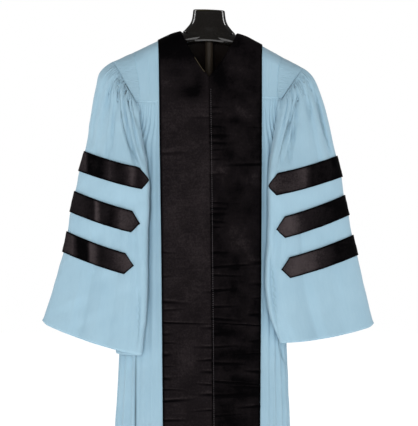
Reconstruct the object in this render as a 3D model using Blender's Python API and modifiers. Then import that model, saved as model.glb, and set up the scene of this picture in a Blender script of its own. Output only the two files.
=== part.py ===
"""A graduation gown hanging on a shoulder form with a post and a round base.

Metres, +Z up. The origin is on the floor under the middle of the base and the front faces -Y.
Left and right are as seen from the front: left is -X. Each panel is a grid of points worked out
from the sizes below, with its rows running down and its columns running across, and a wall.
"""

import math
from collections import namedtuple

import bmesh
import bpy
import numpy as np

# Walls and gaps
CLOTH_WALL = 0.0016
VELVET_WALL = 0.0016
LINING_WALL = 0.0010
SEAM_GAP = 0.0004
SIDE_GAP = 0.0007
LAID_GAP = 0.0004
REST_GAP = 0.0008

# Heights
HEM_HEIGHT = 0.170
UNDERARM_HEIGHT = 1.180

# The gown's shoulders lean down a little to the right, as it hangs
LEAN = 0.039
SHOULDER_DEPTH = 0.048
SHOULDER_DROP = 0.034
FRONT_FLARE = 0.055
BACK_FLARE = 0.066
FLARE_POWER = 0.9
ROUND_POWER = 3.0
ROUND_STEPS = 400

RidgePoint = namedtuple("RidgePoint", "out height")
RIDGE = (
    RidgePoint(0.000, 1.4980),
    RidgePoint(0.075, 1.4885),
    RidgePoint(0.135, 1.4625),
    RidgePoint(0.200, 1.4290),
    RidgePoint(0.260, 1.4030),
    RidgePoint(0.320, 1.3700),
)

# How far the body reaches to each side
WidthPoint = namedtuple("WidthPoint", "height left right")
HALF_WIDTH = (
    WidthPoint(0.170, 0.266, 0.228),
    WidthPoint(0.500, 0.246, 0.213),
    WidthPoint(0.630, 0.2385, 0.2065),
    WidthPoint(0.900, 0.222, 0.204),
    WidthPoint(1.100, 0.208, 0.202),
    WidthPoint(1.180, 0.206, 0.202),
    WidthPoint(1.300, 0.226, 0.220),
    WidthPoint(1.460, 0.290, 0.284),
)

# The armhole seam, above the underarm
ARMHOLE = (
    WidthPoint(1.180, 0.2058, 0.2018),
    WidthPoint(1.250, 0.194, 0.192),
    WidthPoint(1.305, 0.187, 0.185),
    WidthPoint(1.335, 0.184, 0.182),
    WidthPoint(1.387, 0.1915, 0.185),
    WidthPoint(1.440, 0.200, 0.198),
)

# The velvet's outer edge, from the shoulder to the hem
VELVET_EDGE = (
    WidthPoint(0.170, 0.120, 0.133),
    WidthPoint(0.494, 0.122, 0.135),
    WidthPoint(0.912, 0.126, 0.138),
    WidthPoint(1.177, 0.130, 0.1395),
    WidthPoint(1.416, 0.133, 0.1400),
    WidthPoint(1.500, 0.135, 0.1390),
)

# The closed front runs down with the lean
ZIP_HALF = 0.0010
ZIP_TAPE_HALF = 0.0120
ZIP_TOP_HEIGHT = 1.360
ZIP_END_HEIGHT = 0.520
ZIP_LINE = ((0.170, 0.0100), (0.494, 0.0080), (1.100, 0.0025), (1.366, -0.0005), (1.500, -0.0005))

# Rows of the front: a share of the way from the shoulder to the yoke seam, then heights
YOKE_SEAM = {-1: 1.303, 1: 1.313}
VELVET_TOP_OUT = 0.137
ARMHOLE_TOP_OUT = 0.200
YOKE_COLUMN_STEP = 4
YOKE_SHARES = (0.0, 0.008, 0.03, 0.10, 0.22, 0.40, 0.60, 0.76, 1.0)
FRONT_HEIGHTS = (1.250, UNDERARM_HEIGHT, 1.050, 0.880, 0.700, 0.500, 0.330, HEM_HEIGHT)
COVERED_COLUMNS = 3
FLUTED_COLUMNS = 24

NeckPoint = namedtuple("NeckPoint", "share out height")
NECK_OUT = 0.0755
V_NECK = (
    NeckPoint(0.00, NECK_OUT, 1.4885),
    NeckPoint(0.22, 0.0590, 1.4550),
    NeckPoint(0.60, 0.0190, 1.3920),
    NeckPoint(0.76, 0.0010, 1.3660),
)

# Flutes of each front panel: their place between the velvet and the side, and their depth
Flute = namedtuple("Flute", "top_place hem_place top_depth hem_depth width")
FRONT_FLUTES = {
    -1: (
        Flute(0.10, 0.10, 0.004, 0.008, 0.045),
        Flute(0.26, 0.22, 0.004, 0.010, 0.045),
        Flute(0.43, 0.36, 0.004, 0.011, 0.050),
        Flute(0.59, 0.53, 0.003, 0.016, 0.055),
        Flute(0.74, 0.69, 0.003, 0.012, 0.050),
        Flute(0.89, 0.86, 0.003, 0.010, 0.045),
    ),
    1: (
        Flute(0.10, 0.09, 0.005, 0.007, 0.040),
        Flute(0.28, 0.22, 0.005, 0.009, 0.045),
        Flute(0.45, 0.37, 0.005, 0.010, 0.045),
        Flute(0.62, 0.55, 0.004, 0.012, 0.050),
        Flute(0.78, 0.73, 0.003, 0.015, 0.055),
        Flute(0.91, 0.88, 0.003, 0.009, 0.040),
    ),
}

# The back
NECK_BACK_DROP = 0.030
BAND_BACK_DROP = 0.088
BACK_SEAM_SIDE = 1.335
BACK_SEAM_MIDDLE = 1.322
BACK_SEAM_REACH = 0.184
BACK_CORNER_CURVE = 1.5
BACK_YOKE_COLUMNS = 24
BACK_YOKE_RINGS = 6
YOKE_CROWDING = 0.6
BAND_RINGS = 3
LINING_COLUMNS = (6, 18)
BACK_HEIGHTS = (1.250, UNDERARM_HEIGHT, 0.960, 0.600, HEM_HEIGHT)
BACK_FLUTES = 16
COLUMNS_PER_FLUTE = 5
Swell = namedtuple("Swell", "size rate start")
FLUTE_SWELLS = (Swell(0.25, 23.0, 0.0), Swell(0.15, 61.0, 1.0))
FLUTE_DRIFT = Swell(0.16, 17.0, 0.0)
BACK_FLUTE_DEPTH = ((0.170, 0.0170), (0.700, 0.0130), (1.180, 0.0080), (1.340, 0.0040))

# The sleeve cap and the gathered line at its outer edge
Cap = namedtuple("Cap", "top_out top_height tip_out")
CAPS = {
    -1: Cap(0.2540, 1.4125, 0.1925),
    1: Cap(0.2490, 1.3960, 0.1925),
}
CAP_ROWS = 2

# Sleeve sections from the gathered head to the hem: the outer and inner edges of each section,
# how far in front of the mid plane they hang and how deep the section is there
Section = namedtuple("Section", "outer_out outer_height inner_out inner_height forward depth back_depth")
SLEEVE = {
    -1: (
        Section(0.2540, 1.4130, 0.1950, 1.3070, 0.042, 0.052, 0.052),
        Section(0.2860, 1.3800, 0.1895, 1.2700, 0.056, 0.052, 0.084),
        Section(0.3000, 1.3365, 0.1815, 1.2225, 0.066, 0.050, 0.098),
        Section(0.3125, 1.2780, 0.1735, 1.1825, 0.074, 0.046, 0.104),
        Section(0.3205, 1.2225, 0.1670, 1.1510, 0.080, 0.044, 0.104),
        Section(0.3290, 1.1745, 0.1630, 1.1250, 0.084, 0.042, 0.102),
        Section(0.3445, 1.1215, 0.1570, 1.0685, 0.089, 0.040, 0.098),
        Section(0.3550, 1.0685, 0.1590, 1.0065, 0.090, 0.039, 0.094),
        Section(0.3675, 1.0130, 0.1615, 0.9495, 0.090, 0.038, 0.092),
        Section(0.3750, 0.9615, 0.1617, 0.8910, 0.090, 0.038, 0.090),
        Section(0.3870, 0.9070, 0.1617, 0.8355, 0.090, 0.038, 0.088),
        Section(0.4150, 0.8065, 0.1655, 0.7430, 0.091, 0.038, 0.086),
        Section(0.4435, 0.7190, 0.1775, 0.6340, 0.092, 0.038, 0.084),
    ),
    1: (
        Section(0.2490, 1.3960, 0.1950, 1.3140, 0.042, 0.052, 0.052),
        Section(0.2730, 1.3655, 0.1895, 1.2755, 0.056, 0.052, 0.084),
        Section(0.2910, 1.3310, 0.1800, 1.2305, 0.066, 0.050, 0.098),
        Section(0.3085, 1.2835, 0.1710, 1.1855, 0.074, 0.046, 0.104),
        Section(0.3230, 1.2250, 0.1630, 1.1430, 0.080, 0.044, 0.104),
        Section(0.3380, 1.1620, 0.1585, 1.1095, 0.084, 0.042, 0.102),
        Section(0.3525, 1.1060, 0.1565, 1.0520, 0.089, 0.040, 0.098),
        Section(0.3580, 1.0580, 0.1565, 0.9910, 0.090, 0.039, 0.094),
        Section(0.3705, 1.0045, 0.1550, 0.9335, 0.090, 0.038, 0.092),
        Section(0.3805, 0.9520, 0.1505, 0.8800, 0.090, 0.038, 0.090),
        Section(0.3935, 0.8985, 0.1485, 0.8250, 0.090, 0.038, 0.088),
        Section(0.4155, 0.8035, 0.1575, 0.7535, 0.091, 0.038, 0.086),
        Section(0.4380, 0.7110, 0.1880, 0.6670, 0.092, 0.038, 0.084),
    ),
}
OUTER_FORWARD = 0.012
SECTION_POWER = 0.8
HEM_SAG = 0.010
FRONT_SLEEVE_COLUMNS = 30
CAP_BACK_COLUMNS = 10
ARMHOLE_COLUMNS = 5
SEAM_FADE = (1.0, 0.82, 0.59, 0.38, 0.22, 0.07)
BODY_CLEARANCE = 0.0080

# Folds of the sleeves: their place across the front or back, from the inner edge to the outer,
# the sections between which they run, their depth and their width as a share
Fold = namedtuple("Fold", "face head_place end_place head end depth width")
SLEEVE_FOLDS = {
    -1: (
        Fold(-1, 0.50, 0.66, 0.3, 6.0, 0.011, 0.060),
        Fold(-1, 0.34, 0.11, 0.3, 6.2, 0.013, 0.050),
        Fold(-1, 0.17, 0.04, 0.2, 5.0, 0.009, 0.045),
        Fold(-1, 0.72, 0.84, 0.3, 6.5, 0.008, 0.060),
        Fold(-1, 0.90, 0.93, 0.3, 5.5, 0.005, 0.040),
        Fold(-1, 0.60, 0.64, 7.5, 15.0, 0.012, 0.080),
        Fold(-1, 0.22, 0.10, 6.5, 15.0, 0.010, 0.060),
        Fold(-1, 0.38, 0.36, 6.0, 15.0, 0.007, 0.080),
        Fold(1, 0.30, 0.20, 0.3, 7.5, 0.010, 0.055),
        Fold(1, 0.52, 0.46, 0.3, 15.0, 0.012, 0.065),
        Fold(1, 0.74, 0.70, 0.3, 15.0, 0.010, 0.060),
        Fold(1, 0.90, 0.88, 0.3, 6.5, 0.006, 0.045),
    ),
    1: (
        Fold(-1, 0.35, 0.09, 0.3, 6.0, 0.012, 0.050),
        Fold(-1, 0.52, 0.17, 0.3, 6.0, 0.010, 0.050),
        Fold(-1, 0.70, 0.74, 0.3, 6.5, 0.008, 0.060),
        Fold(-1, 0.90, 0.91, 0.2, 6.5, 0.010, 0.040),
        Fold(-1, 0.18, 0.04, 0.2, 5.0, 0.008, 0.045),
        Fold(-1, 0.12, 0.07, 6.5, 15.0, 0.010, 0.050),
        Fold(-1, 0.44, 0.40, 6.5, 15.0, 0.010, 0.080),
        Fold(-1, 0.72, 0.70, 7.5, 15.0, 0.007, 0.080),
        Fold(1, 0.32, 0.24, 0.3, 7.5, 0.010, 0.055),
        Fold(1, 0.55, 0.50, 0.3, 15.0, 0.012, 0.065),
        Fold(1, 0.76, 0.74, 0.3, 15.0, 0.009, 0.060),
        Fold(1, 0.91, 0.90, 0.3, 6.5, 0.006, 0.045),
    ),
}
FOLD_START = 1.2
FOLD_END = 1.5
FOLD_EDGE_POWER = 0.5
HEAD_GATHERS = 8
HEAD_GATHER_DEPTH = 0.0030
HEAD_GATHER_FADE = 2.6

# Sleeve bars: the section at their top edge, and how far their points stay from the inner edge
Bar = namedtuple("Bar", "top tip_place")
BARS = {
    -1: (Bar(5, 0.01), Bar(7, 0.10), Bar(9, 0.18)),
    1: (Bar(5, 0.01), Bar(7, 0.10), Bar(9, 0.19)),
}
BAR_POINT_COLUMNS = 3
BAR_TIP_SHARE = 0.06
BACK_POINT_OUT = 0.22
BAR_GAP = 0.0008

# The form, its post and its base
FORM_SECTIONS = 25
FORM_REACH = 0.188
FORM_SPACING = 0.8
RING_SIDES = 32
POST_RADIUS = 0.0107
POST_SIDES = 32
BASE_RADIUS = 0.180
BASE_THICKNESS = 0.012
BASE_RIM = 0.004
BASE_SIDES = 40
RIM_STEPS = 2
COLLAR_RADIUS = 0.024
COLLAR_HEIGHT = 0.034
COLLAR_EDGE = 0.002

FormPoint = namedtuple("FormPoint", "out half_height half_depth")
FORM_SHAPE = (
    FormPoint(0.000, 0.0145, 0.0310),
    FormPoint(0.058, 0.0180, 0.0290),
    FormPoint(0.120, 0.0250, 0.0275),
    FormPoint(0.165, 0.0250, 0.0255),
    FormPoint(0.179, 0.0210, 0.0220),
    FormPoint(0.185, 0.0150, 0.0160),
    FormPoint(0.188, 0.0060, 0.0070),
)

BlockPoint = namedtuple("BlockPoint", "height half_width half_depth")
NECK_BLOCK = (
    BlockPoint(1.4760, 0.0560, 0.0260),
    BlockPoint(1.4850, 0.0690, 0.0300),
    BlockPoint(1.4890, 0.0690, 0.0310),
    BlockPoint(1.4940, 0.0645, 0.0315),
    BlockPoint(1.5020, 0.0575, 0.0315),
    BlockPoint(1.5120, 0.0500, 0.0310),
    BlockPoint(1.5250, 0.0450, 0.0305),
    BlockPoint(1.5380, 0.0430, 0.0300),
    BlockPoint(1.5460, 0.0422, 0.0298),
    BlockPoint(1.5490, 0.0405, 0.0285),
    BlockPoint(1.5500, 0.0370, 0.0255),
    BlockPoint(1.5508, 0.0200, 0.0140),
)

SIDES = (-1, 1)
SIDE_NAME = {-1: "left", 1: "right"}


def clear_scene():
    for item in list(bpy.data.objects):
        bpy.data.objects.remove(item, do_unlink=True)


def material(name, colour, roughness, metallic=0.0):
    made = bpy.data.materials.new(name)
    made.use_nodes = True
    shader = made.node_tree.nodes["Principled BSDF"]
    shader.inputs["Base Color"].default_value = (*colour, 1.0)
    shader.inputs["Roughness"].default_value = roughness
    shader.inputs["Metallic"].default_value = metallic
    return made


def flow(at, knots, values):
    """A smooth line through a table's values that never swings past them."""
    knots = np.asarray(knots, float)
    values = np.asarray(values, float)
    at = np.clip(np.asarray(at, float), knots[0], knots[-1])
    steps = np.diff(knots)
    slopes = np.diff(values) / steps
    tangents = np.zeros(len(knots))
    tangents[0] = slopes[0]
    tangents[-1] = slopes[-1]
    for index in range(1, len(knots) - 1):
        before = slopes[index - 1]
        after = slopes[index]
        if before * after > 0:
            tangents[index] = 2 * before * after / (before + after)
    span = np.clip(np.searchsorted(knots, at, side="right") - 1, 0, len(steps) - 1)
    part = (at - knots[span]) / steps[span]
    rest = 1 - part
    line = values[span] * rest * rest * (1 + 2 * part) + values[span + 1] * part * part * (3 - 2 * part)
    bend = steps[span] * part * rest * (tangents[span] * rest - tangents[span + 1] * part)
    return line + bend


def from_table(table, at, knot, value):
    """A named column of a table, read smoothly at any place along another named column."""
    return flow(at, [getattr(row, knot) for row in table], [getattr(row, value) for row in table])


def side_value(table, side, height):
    return from_table(table, height, "height", SIDE_NAME[side])


def ridge(across):
    """The height of the shoulder line over any place across the gown."""
    return from_table(RIDGE, np.abs(across), "out", "height") - LEAN * across


def armhole_top(side):
    """The height at which the armhole seam meets the shoulder line."""
    out = ARMHOLE_TOP_OUT
    for _ in range(12):
        height = float(ridge(side * out))
        out = float(side_value(ARMHOLE, side, height))
    return height


def zip_line(height):
    knots = [row[0] for row in ZIP_LINE]
    return flow(height, knots, [row[1] for row in ZIP_LINE])


def front_edge(side, height):
    return ZIP_HALF + side * zip_line(height)


def body_depth(across, height, face):
    """How far the cloth stands from the mid plane before it rounds in towards the side."""
    drop = np.maximum(ridge(across) - height, 0.0)
    near = np.minimum(drop / SHOULDER_DROP, 1.0)
    flare = FRONT_FLARE if face < 0 else BACK_FLARE
    over_shoulder = SHOULDER_DEPTH * np.sqrt(np.maximum(1.0 - (1.0 - near) ** 2, 0.0))
    return over_shoulder + flare * np.maximum(drop - SHOULDER_DROP, 0.0) ** FLARE_POWER


def body_point(side, out, height, face):
    """A point of the gown's body, at a distance out from the middle on one side."""
    ratio = np.minimum(np.abs(out) / side_value(HALF_WIDTH, side, height), 1.0)
    rounding = (1.0 - ratio**ROUND_POWER) ** (1.0 / ROUND_POWER)
    across = side * out
    return np.array([across, face * body_depth(across, height, face) * rounding, height])


def body_outward(side, out, height, face, point):
    """The level direction that leads straight out of the body at one of its points."""
    reach = side_value(HALF_WIDTH, side, height)
    depth = max(float(body_depth(side * out, height, face)), 1e-4)
    slope_x = side * (min(abs(out) / reach, 1.0) ** (ROUND_POWER - 1)) / reach
    slope_y = face * (min(abs(point[1]) / depth, 1.0) ** (ROUND_POWER - 1)) / depth
    length = math.hypot(slope_x, slope_y)
    return np.array([slope_x / length, slope_y / length, 0.0])


def normals(grid, closed=False):
    """The outward direction at each point of a grid with rows down and columns across."""
    down = np.gradient(grid, axis=0)
    if closed:
        across = (np.roll(grid, -1, axis=1) - np.roll(grid, 1, axis=1)) / 2
    else:
        across = np.gradient(grid, axis=1)
    found = np.cross(down, across)
    return found / np.maximum(np.linalg.norm(found, axis=2, keepdims=True), 1e-9)


def laid_on(grid, distance, side=1, closed=False):
    """The grid moved straight out; the columns of a left-hand grid run to the left."""
    return grid + normals(grid, closed) * distance * side


def handed(grid, side):
    """The same grid with its columns running to the right, so that its faces point out."""
    return grid if side > 0 else grid[:, ::-1]


def cloth(name, grid, wall, look, group, outward=False, closed=False):
    """A cloth wall over a grid: the grid is its outer face, or its inner face if outward."""
    rows, columns = grid.shape[:2]
    mesh = bmesh.new()
    points = [[mesh.verts.new(point) for point in row] for row in grid]
    for row in range(rows - 1):
        for column in range(columns if closed else columns - 1):
            beside = (column + 1) % columns
            corner = points[row][column]
            below = points[row + 1][column]
            across = points[row][beside]
            far = points[row + 1][beside]
            mesh.faces.new((corner, below, far))
            mesh.faces.new((corner, far, across))
    made = add_object(name, mesh, look, group)
    wall_modifier = made.modifiers.new("Wall", "SOLIDIFY")
    wall_modifier.thickness = wall
    wall_modifier.offset = 1.0 if outward else -1.0
    wall_modifier.use_even_offset = not closed
    wall_modifier.use_quality_normals = True
    wall_modifier.thickness_clamp = 1.0
    return made


def add_object(name, mesh, look, group):
    data = bpy.data.meshes.new(name)
    mesh.to_mesh(data)
    mesh.free()
    data.materials.append(look)
    data.shade_smooth()
    made = bpy.data.objects.new(name, data)
    group.objects.link(made)
    return made


def front_grid(side):
    """The whole front of one side, from the shoulder to the hem and from the zip to the side."""
    grid = []
    seam = YOKE_SEAM[side]
    for share in YOKE_SHARES:
        if share >= V_NECK[-1].share:
            low = (share - V_NECK[-1].share) / (1.0 - V_NECK[-1].share)
            inner_height = V_NECK[-1].height + (seam - V_NECK[-1].height) * low
            inner = float(front_edge(side, inner_height))
        else:
            inner = float(from_table(V_NECK, share, "share", "out"))
            inner_height = float(from_table(V_NECK, share, "share", "height")) - LEAN * side * inner
        edge = float(side_value(VELVET_EDGE, side, float(ridge(side * VELVET_TOP_OUT))))
        edge_top = float(ridge(side * edge))
        edge_height = edge_top + (seam - edge_top) * share
        edge = float(side_value(VELVET_EDGE, side, edge_height))
        arm_top = armhole_top(side)
        arm_height = arm_top + (seam - arm_top) * share
        arm = float(side_value(ARMHOLE, side, arm_height))
        row = between((inner, inner_height), (edge, edge_height), COVERED_COLUMNS)[:-1]
        row += between((edge, edge_height), (arm, arm_height), FLUTED_COLUMNS)
        if share == YOKE_SHARES[0]:
            lifts = [float(ridge(side * out)) - height for out, height in row]
        grid.append([body_point(side, out, height + lift * (1 - share), -1)
                     for (out, height), lift in zip(row, lifts)])
    for height in FRONT_HEIGHTS:
        grid.append(front_row(side, height))
    return np.array(grid, float)


def between(first, last, count):
    """Evenly spaced places from one pair of values to another, with both ends."""
    first = np.array(first)
    last = np.array(last)
    return [tuple(first + (last - first) * step / count) for step in range(count + 1)]


def front_row(side, height):
    """One row of the front below the yoke seam, smooth under the velvet and then fluted."""
    inner = float(front_edge(side, height))
    edge = float(side_value(VELVET_EDGE, side, height))
    covered = between((inner, height), (edge, height), COVERED_COLUMNS)[:-1]
    row = [body_point(side, out, level, -1) for out, level in covered]
    down = (YOKE_SEAM[side] - height) / (YOKE_SEAM[side] - HEM_HEIGHT)
    for step in range(FLUTED_COLUMNS + 1):
        place = step / FLUTED_COLUMNS
        out = fanned_out(side, height, edge, place, -1)
        point = body_point(side, out, height, -1)
        depth = sum(groove(flute, place, down) for flute in FRONT_FLUTES[side])
        fade = edge_fade(min(step, FLUTED_COLUMNS - step))
        row.append(point - body_outward(side, out, height, -1, point) * depth * fade)
    return row


def edge_fade(columns):
    """Nothing at a panel's edge and one column in, then up to the whole depth of a flute."""
    return min(max(columns - 1, 0) / 2, 1.0)


def groove(flute, place, down):
    middle = flute.top_place + (flute.hem_place - flute.top_place) * down
    depth = flute.top_depth + (flute.hem_depth - flute.top_depth) * down
    return depth * math.exp(-(((place - middle) / flute.width) ** 2))


def side_edge(side, height):
    """Where a panel ends at its side: the armhole seam, or the side seam below it."""
    if height > UNDERARM_HEIGHT:
        return float(side_value(ARMHOLE, side, height))
    return float(side_value(HALF_WIDTH, side, height))


def fanned_out(side, height, start, place, face):
    """Columns spaced evenly round the rounded side of the body, from a start to its edge."""
    reach = float(side_value(HALF_WIDTH, side, height))
    depth = float(body_depth(side * start, height, face))
    turns = np.linspace(0.0, math.pi / 2, ROUND_STEPS)
    outs = reach * np.sin(turns) ** (2 / ROUND_POWER)
    levels = depth * np.cos(turns) ** (2 / ROUND_POWER)
    run = np.concatenate([[0.0], np.cumsum(np.hypot(np.diff(outs), np.diff(levels)))])
    first, last = np.interp([start, side_edge(side, height)], outs, run)
    return float(np.interp(first + (last - first) * place, run, outs))


def lower_edge_gap(grid, row):
    """The same grid from one row down, with its top set below the seam by the seam's gap."""
    part = grid[row:].copy()
    down = part[1] - part[0]
    part[0] += down / np.linalg.norm(down, axis=1, keepdims=True) * SEAM_GAP
    return part


def build_fronts(looks, group):
    grids = {}
    seam_row = len(YOKE_SHARES) - 1
    for side in SIDES:
        grid = front_grid(side)
        grids[side] = grid
        name = SIDE_NAME[side]
        yoke = grid[: seam_row + 1].copy()
        yoke[0, :, 1] -= SEAM_GAP
        keep = [column for column in range(grid.shape[1])
                if column < COVERED_COLUMNS or (column - COVERED_COLUMNS) % YOKE_COLUMN_STEP == 0]
        cloth(f"yoke_front_{name}", handed(yoke[:, keep], side), CLOTH_WALL, looks["cloth"], group)
        panel = lower_edge_gap(grid, seam_row)
        panel[1:, -1, 1] -= SIDE_GAP
        cloth(f"front_{name}", handed(panel, side), CLOTH_WALL, looks["cloth"], group)
        facing = laid_on(grid, LAID_GAP, side)[:, : COVERED_COLUMNS + 1]
        facing[0, :, 1] -= SEAM_GAP
        cloth(f"facing_{name}", handed(facing, side), VELVET_WALL, looks["velvet"], group, outward=True)
    return grids


def crowded(even):
    """Even shares of the back yoke's columns, drawn together towards the two shoulders."""
    return even + (0.5 - 0.5 * math.cos(math.pi * even) - even) * YOKE_CROWDING


def back_yoke_grid():
    """Rings round the back of the neck, from the right shoulder to the left shoulder."""
    rings = []
    for column in range(BACK_YOKE_COLUMNS + 1):
        share = crowded(column / BACK_YOKE_COLUMNS)
        turn = math.pi * share
        neck = np.array([NECK_OUT * math.cos(turn), NECK_BACK_DROP * math.sin(turn) ** 2])
        side = 1 if share <= 0.5 else -1
        edge = float(side_value(VELVET_EDGE, side, 1.5))
        band = np.array([edge * math.cos(turn), BAND_BACK_DROP * math.sin(turn)])
        rings.append((neck, band, np.array(back_yoke_border(share))))
    grid = np.zeros((BACK_YOKE_RINGS + 1, BACK_YOKE_COLUMNS + 1, 3))
    for column, (neck, band, border) in enumerate(rings):
        for ring in range(BACK_YOKE_RINGS + 1):
            if ring <= BAND_RINGS:
                across, drop = neck + (band - neck) * ring / BAND_RINGS
            else:
                across, drop = band + (border - band) * (ring - BAND_RINGS) / (BACK_YOKE_RINGS - BAND_RINGS)
            side = 1 if across >= 0 else -1
            height = float(ridge(across)) - drop
            grid[ring, column] = body_point(side, abs(across), height, 1)
    return grid


def back_yoke_border(share):
    """The yoke's outer edge as a place across and a drop below the shoulder line."""
    corner = crowded(0.25)
    side = 1 if share <= 0.5 else -1
    along = min(share, 1 - share)
    if along < corner:
        top = armhole_top(side)
        height = top + (BACK_SEAM_SIDE - top) * (along / corner) ** BACK_CORNER_CURVE
        across = side * float(side_value(ARMHOLE, side, height))
    else:
        inward = (along - corner) / (0.5 - corner)
        height = BACK_SEAM_SIDE + (BACK_SEAM_MIDDLE - BACK_SEAM_SIDE) * math.sin(inward * math.pi / 2)
        across = side * float(side_value(ARMHOLE, side, BACK_SEAM_SIDE)) * (1 - inward)
    return across, float(ridge(across)) - height


def back_seam_height(across):
    inward = 1 - min(abs(across) / BACK_SEAM_REACH, 1.0)
    return BACK_SEAM_SIDE + (BACK_SEAM_MIDDLE - BACK_SEAM_SIDE) * math.sin(inward * math.pi / 2)


def back_grid():
    """The fluted back panel, from the right side to the left side."""
    columns = BACK_FLUTES * COLUMNS_PER_FLUTE
    grid = np.zeros((len(BACK_HEIGHTS) + 1, columns + 1, 3))
    for column in range(columns + 1):
        share = column / columns
        side = 1 if share <= 0.5 else -1
        place = abs(1 - 2 * share)
        uneven = 1 + sum(swell.size * math.sin(share * swell.rate + swell.start) for swell in FLUTE_SWELLS)
        drift = FLUTE_DRIFT.size * math.sin(share * FLUTE_DRIFT.rate + FLUTE_DRIFT.start)
        wave = (1 - math.cos(2 * math.pi * (share * BACK_FLUTES + drift))) / 2
        fade = edge_fade(min(column, columns - column))
        for row in range(len(BACK_HEIGHTS) + 1):
            height = BACK_HEIGHTS[row - 1] if row else BACK_SEAM_SIDE
            out = fanned_out(side, height, 0.0, place, 1)
            if row == 0:
                height = back_seam_height(out) - SEAM_GAP
            point = body_point(side, out, height, 1)
            knots = [pair[0] for pair in BACK_FLUTE_DEPTH]
            depth = float(flow(height, knots, [pair[1] for pair in BACK_FLUTE_DEPTH]))
            inward = body_outward(side, out, height, 1, point) * depth * wave * uneven * fade
            grid[row, column] = point - inward
    return grid


def build_back(looks, group):
    yoke = back_yoke_grid()
    panel = back_grid()
    sewn = yoke.copy()
    sewn[:, 0, 1] += SEAM_GAP / 2
    sewn[:, -1, 1] += SEAM_GAP / 2
    cloth("back_yoke", sewn, CLOTH_WALL, looks["cloth"], group)
    panel[2:, 0, 1] += SIDE_GAP
    panel[2:, -1, 1] += SIDE_GAP
    cloth("back", panel, CLOTH_WALL, looks["cloth"], group)
    band = laid_on(yoke, LAID_GAP)[: BAND_RINGS + 1]
    band[:, 0, 1] += SEAM_GAP / 2
    band[:, -1, 1] += SEAM_GAP / 2
    cloth("facing_neck", band, VELVET_WALL, looks["velvet"], group, outward=True)
    first, last = LINING_COLUMNS
    lining = laid_on(yoke, -(CLOTH_WALL + LAID_GAP))[:, first : last + 1]
    cloth("neck_lining", lining, LINING_WALL, looks["lining"], group)
    return yoke, panel


def gathered_line(side, share, face):
    """The sleeve head's gathered line from the shoulder top, share 0, to its tip, share 1."""
    cap = CAPS[side]
    tip_height = YOKE_SEAM[side] if face < 0 else BACK_SEAM_SIDE
    down = 1 - math.cos(share * math.pi / 2)
    out = cap.top_out + (cap.tip_out - cap.top_out) * down
    height = cap.top_height + (tip_height - cap.top_height) * down
    tip = body_point(side, cap.tip_out, tip_height, face)
    return np.array([side * out, tip[1] * math.sin(share * math.pi / 2), height])


def cap_grid(side, front, yoke):
    """The smooth sleeve cap, from its front tip over the shoulder to its back tip."""
    seam_row = len(YOKE_SHARES) - 1
    front_seam = front[seam_row::-1, -1]
    corner = BACK_YOKE_COLUMNS // 4
    if side > 0:
        back_seam = yoke[-1, : corner + 1]
    else:
        back_seam = yoke[-1, ::-1][: corner + 1]
    seam = np.concatenate([front_seam, back_seam[1:]])
    rows = []
    for index, point in enumerate(seam):
        face = -1 if index <= seam_row else 1
        span = seam_row if face < 0 else corner
        share = abs(index - seam_row) / span
        outer = gathered_line(side, share, face)
        start = point + np.array([side * SEAM_GAP, 0, 0])
        line = [start + (outer - start) * step / CAP_ROWS for step in range(CAP_ROWS + 1)]
        rows.append(line)
    return np.array(rows).transpose(1, 0, 2)


def along(points, count):
    """The same broken line cut into equal lengths, staying on its straight stretches."""
    lengths = np.concatenate([[0], np.cumsum(np.linalg.norm(np.diff(points, axis=0), axis=1))])
    wanted = np.linspace(0, lengths[-1], count + 1)
    return np.stack([np.interp(wanted, lengths, points[:, axis]) for axis in range(3)], axis=1)


def sleeve_head(side, cap, front, back):
    """The sleeve's first ring: up the gathered line, over to the back, and round the armhole."""
    seam_row = len(YOKE_SHARES) - 1
    edge = cap[-1]
    front_line = along(edge[: seam_row + 1], FRONT_SLEEVE_COLUMNS)
    back_line = along(edge[seam_row:], CAP_BACK_COLUMNS)
    column = 0 if side > 0 else -1
    back_hole = along(back[:3, column], ARMHOLE_COLUMNS)
    front_hole = along(front[seam_row : seam_row + 3, -1][::-1], ARMHOLE_COLUMNS)
    ring = np.concatenate([front_line, back_line[1:], back_hole, front_hole[1:]])
    ring[:, 0] += side * SEAM_GAP * 2
    ring[:, 2] -= SEAM_GAP / 2
    return ring


def sleeve_grid(side, head):
    sections = SLEEVE[side]
    count = len(head)
    front_count = FRONT_SLEEVE_COLUMNS
    rings = np.zeros((len(sections), count, 3))
    for station, section in enumerate(sections):
        for column in range(count):
            if column <= front_count:
                turn = math.pi * column / front_count
            else:
                turn = math.pi + math.pi * (column - front_count) / (count - front_count)
            rings[station, column] = section_point(side, section, turn, station)
    offset = head - rings[0]
    for station, fade in enumerate(SEAM_FADE):
        rings[station] += offset * fade
    for station in range(1, len(sections)):
        for column in range(count):
            rings[station, column] = clear_of_body(side, rings[station, column])
    return rings


def section_point(side, section, turn, station):
    """A point of a flattened ring: turn 0 is its inner edge, half a turn its outer edge."""
    swing = math.copysign(abs(math.cos(turn)) ** SECTION_POWER, math.cos(turn))
    bulge = math.copysign(abs(math.sin(turn)) ** SECTION_POWER, math.sin(turn))
    place = (1 - swing) / 2
    face = -1 if bulge >= 0 else 1
    out = section.inner_out + (section.outer_out - section.inner_out) * place
    height = section.inner_height + (section.outer_height - section.inner_height) * place
    height -= HEM_SAG * 4 * place * (1 - place) * station / len(SLEEVE[side])
    middle = -(section.forward + (OUTER_FORWARD - section.forward) * place)
    depth = (section.depth if face < 0 else section.back_depth) * abs(bulge)
    depth -= fold_depth(side, place, station, face) * abs(bulge) ** FOLD_EDGE_POWER
    return np.array([side * out, middle + face * depth, height])


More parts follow.
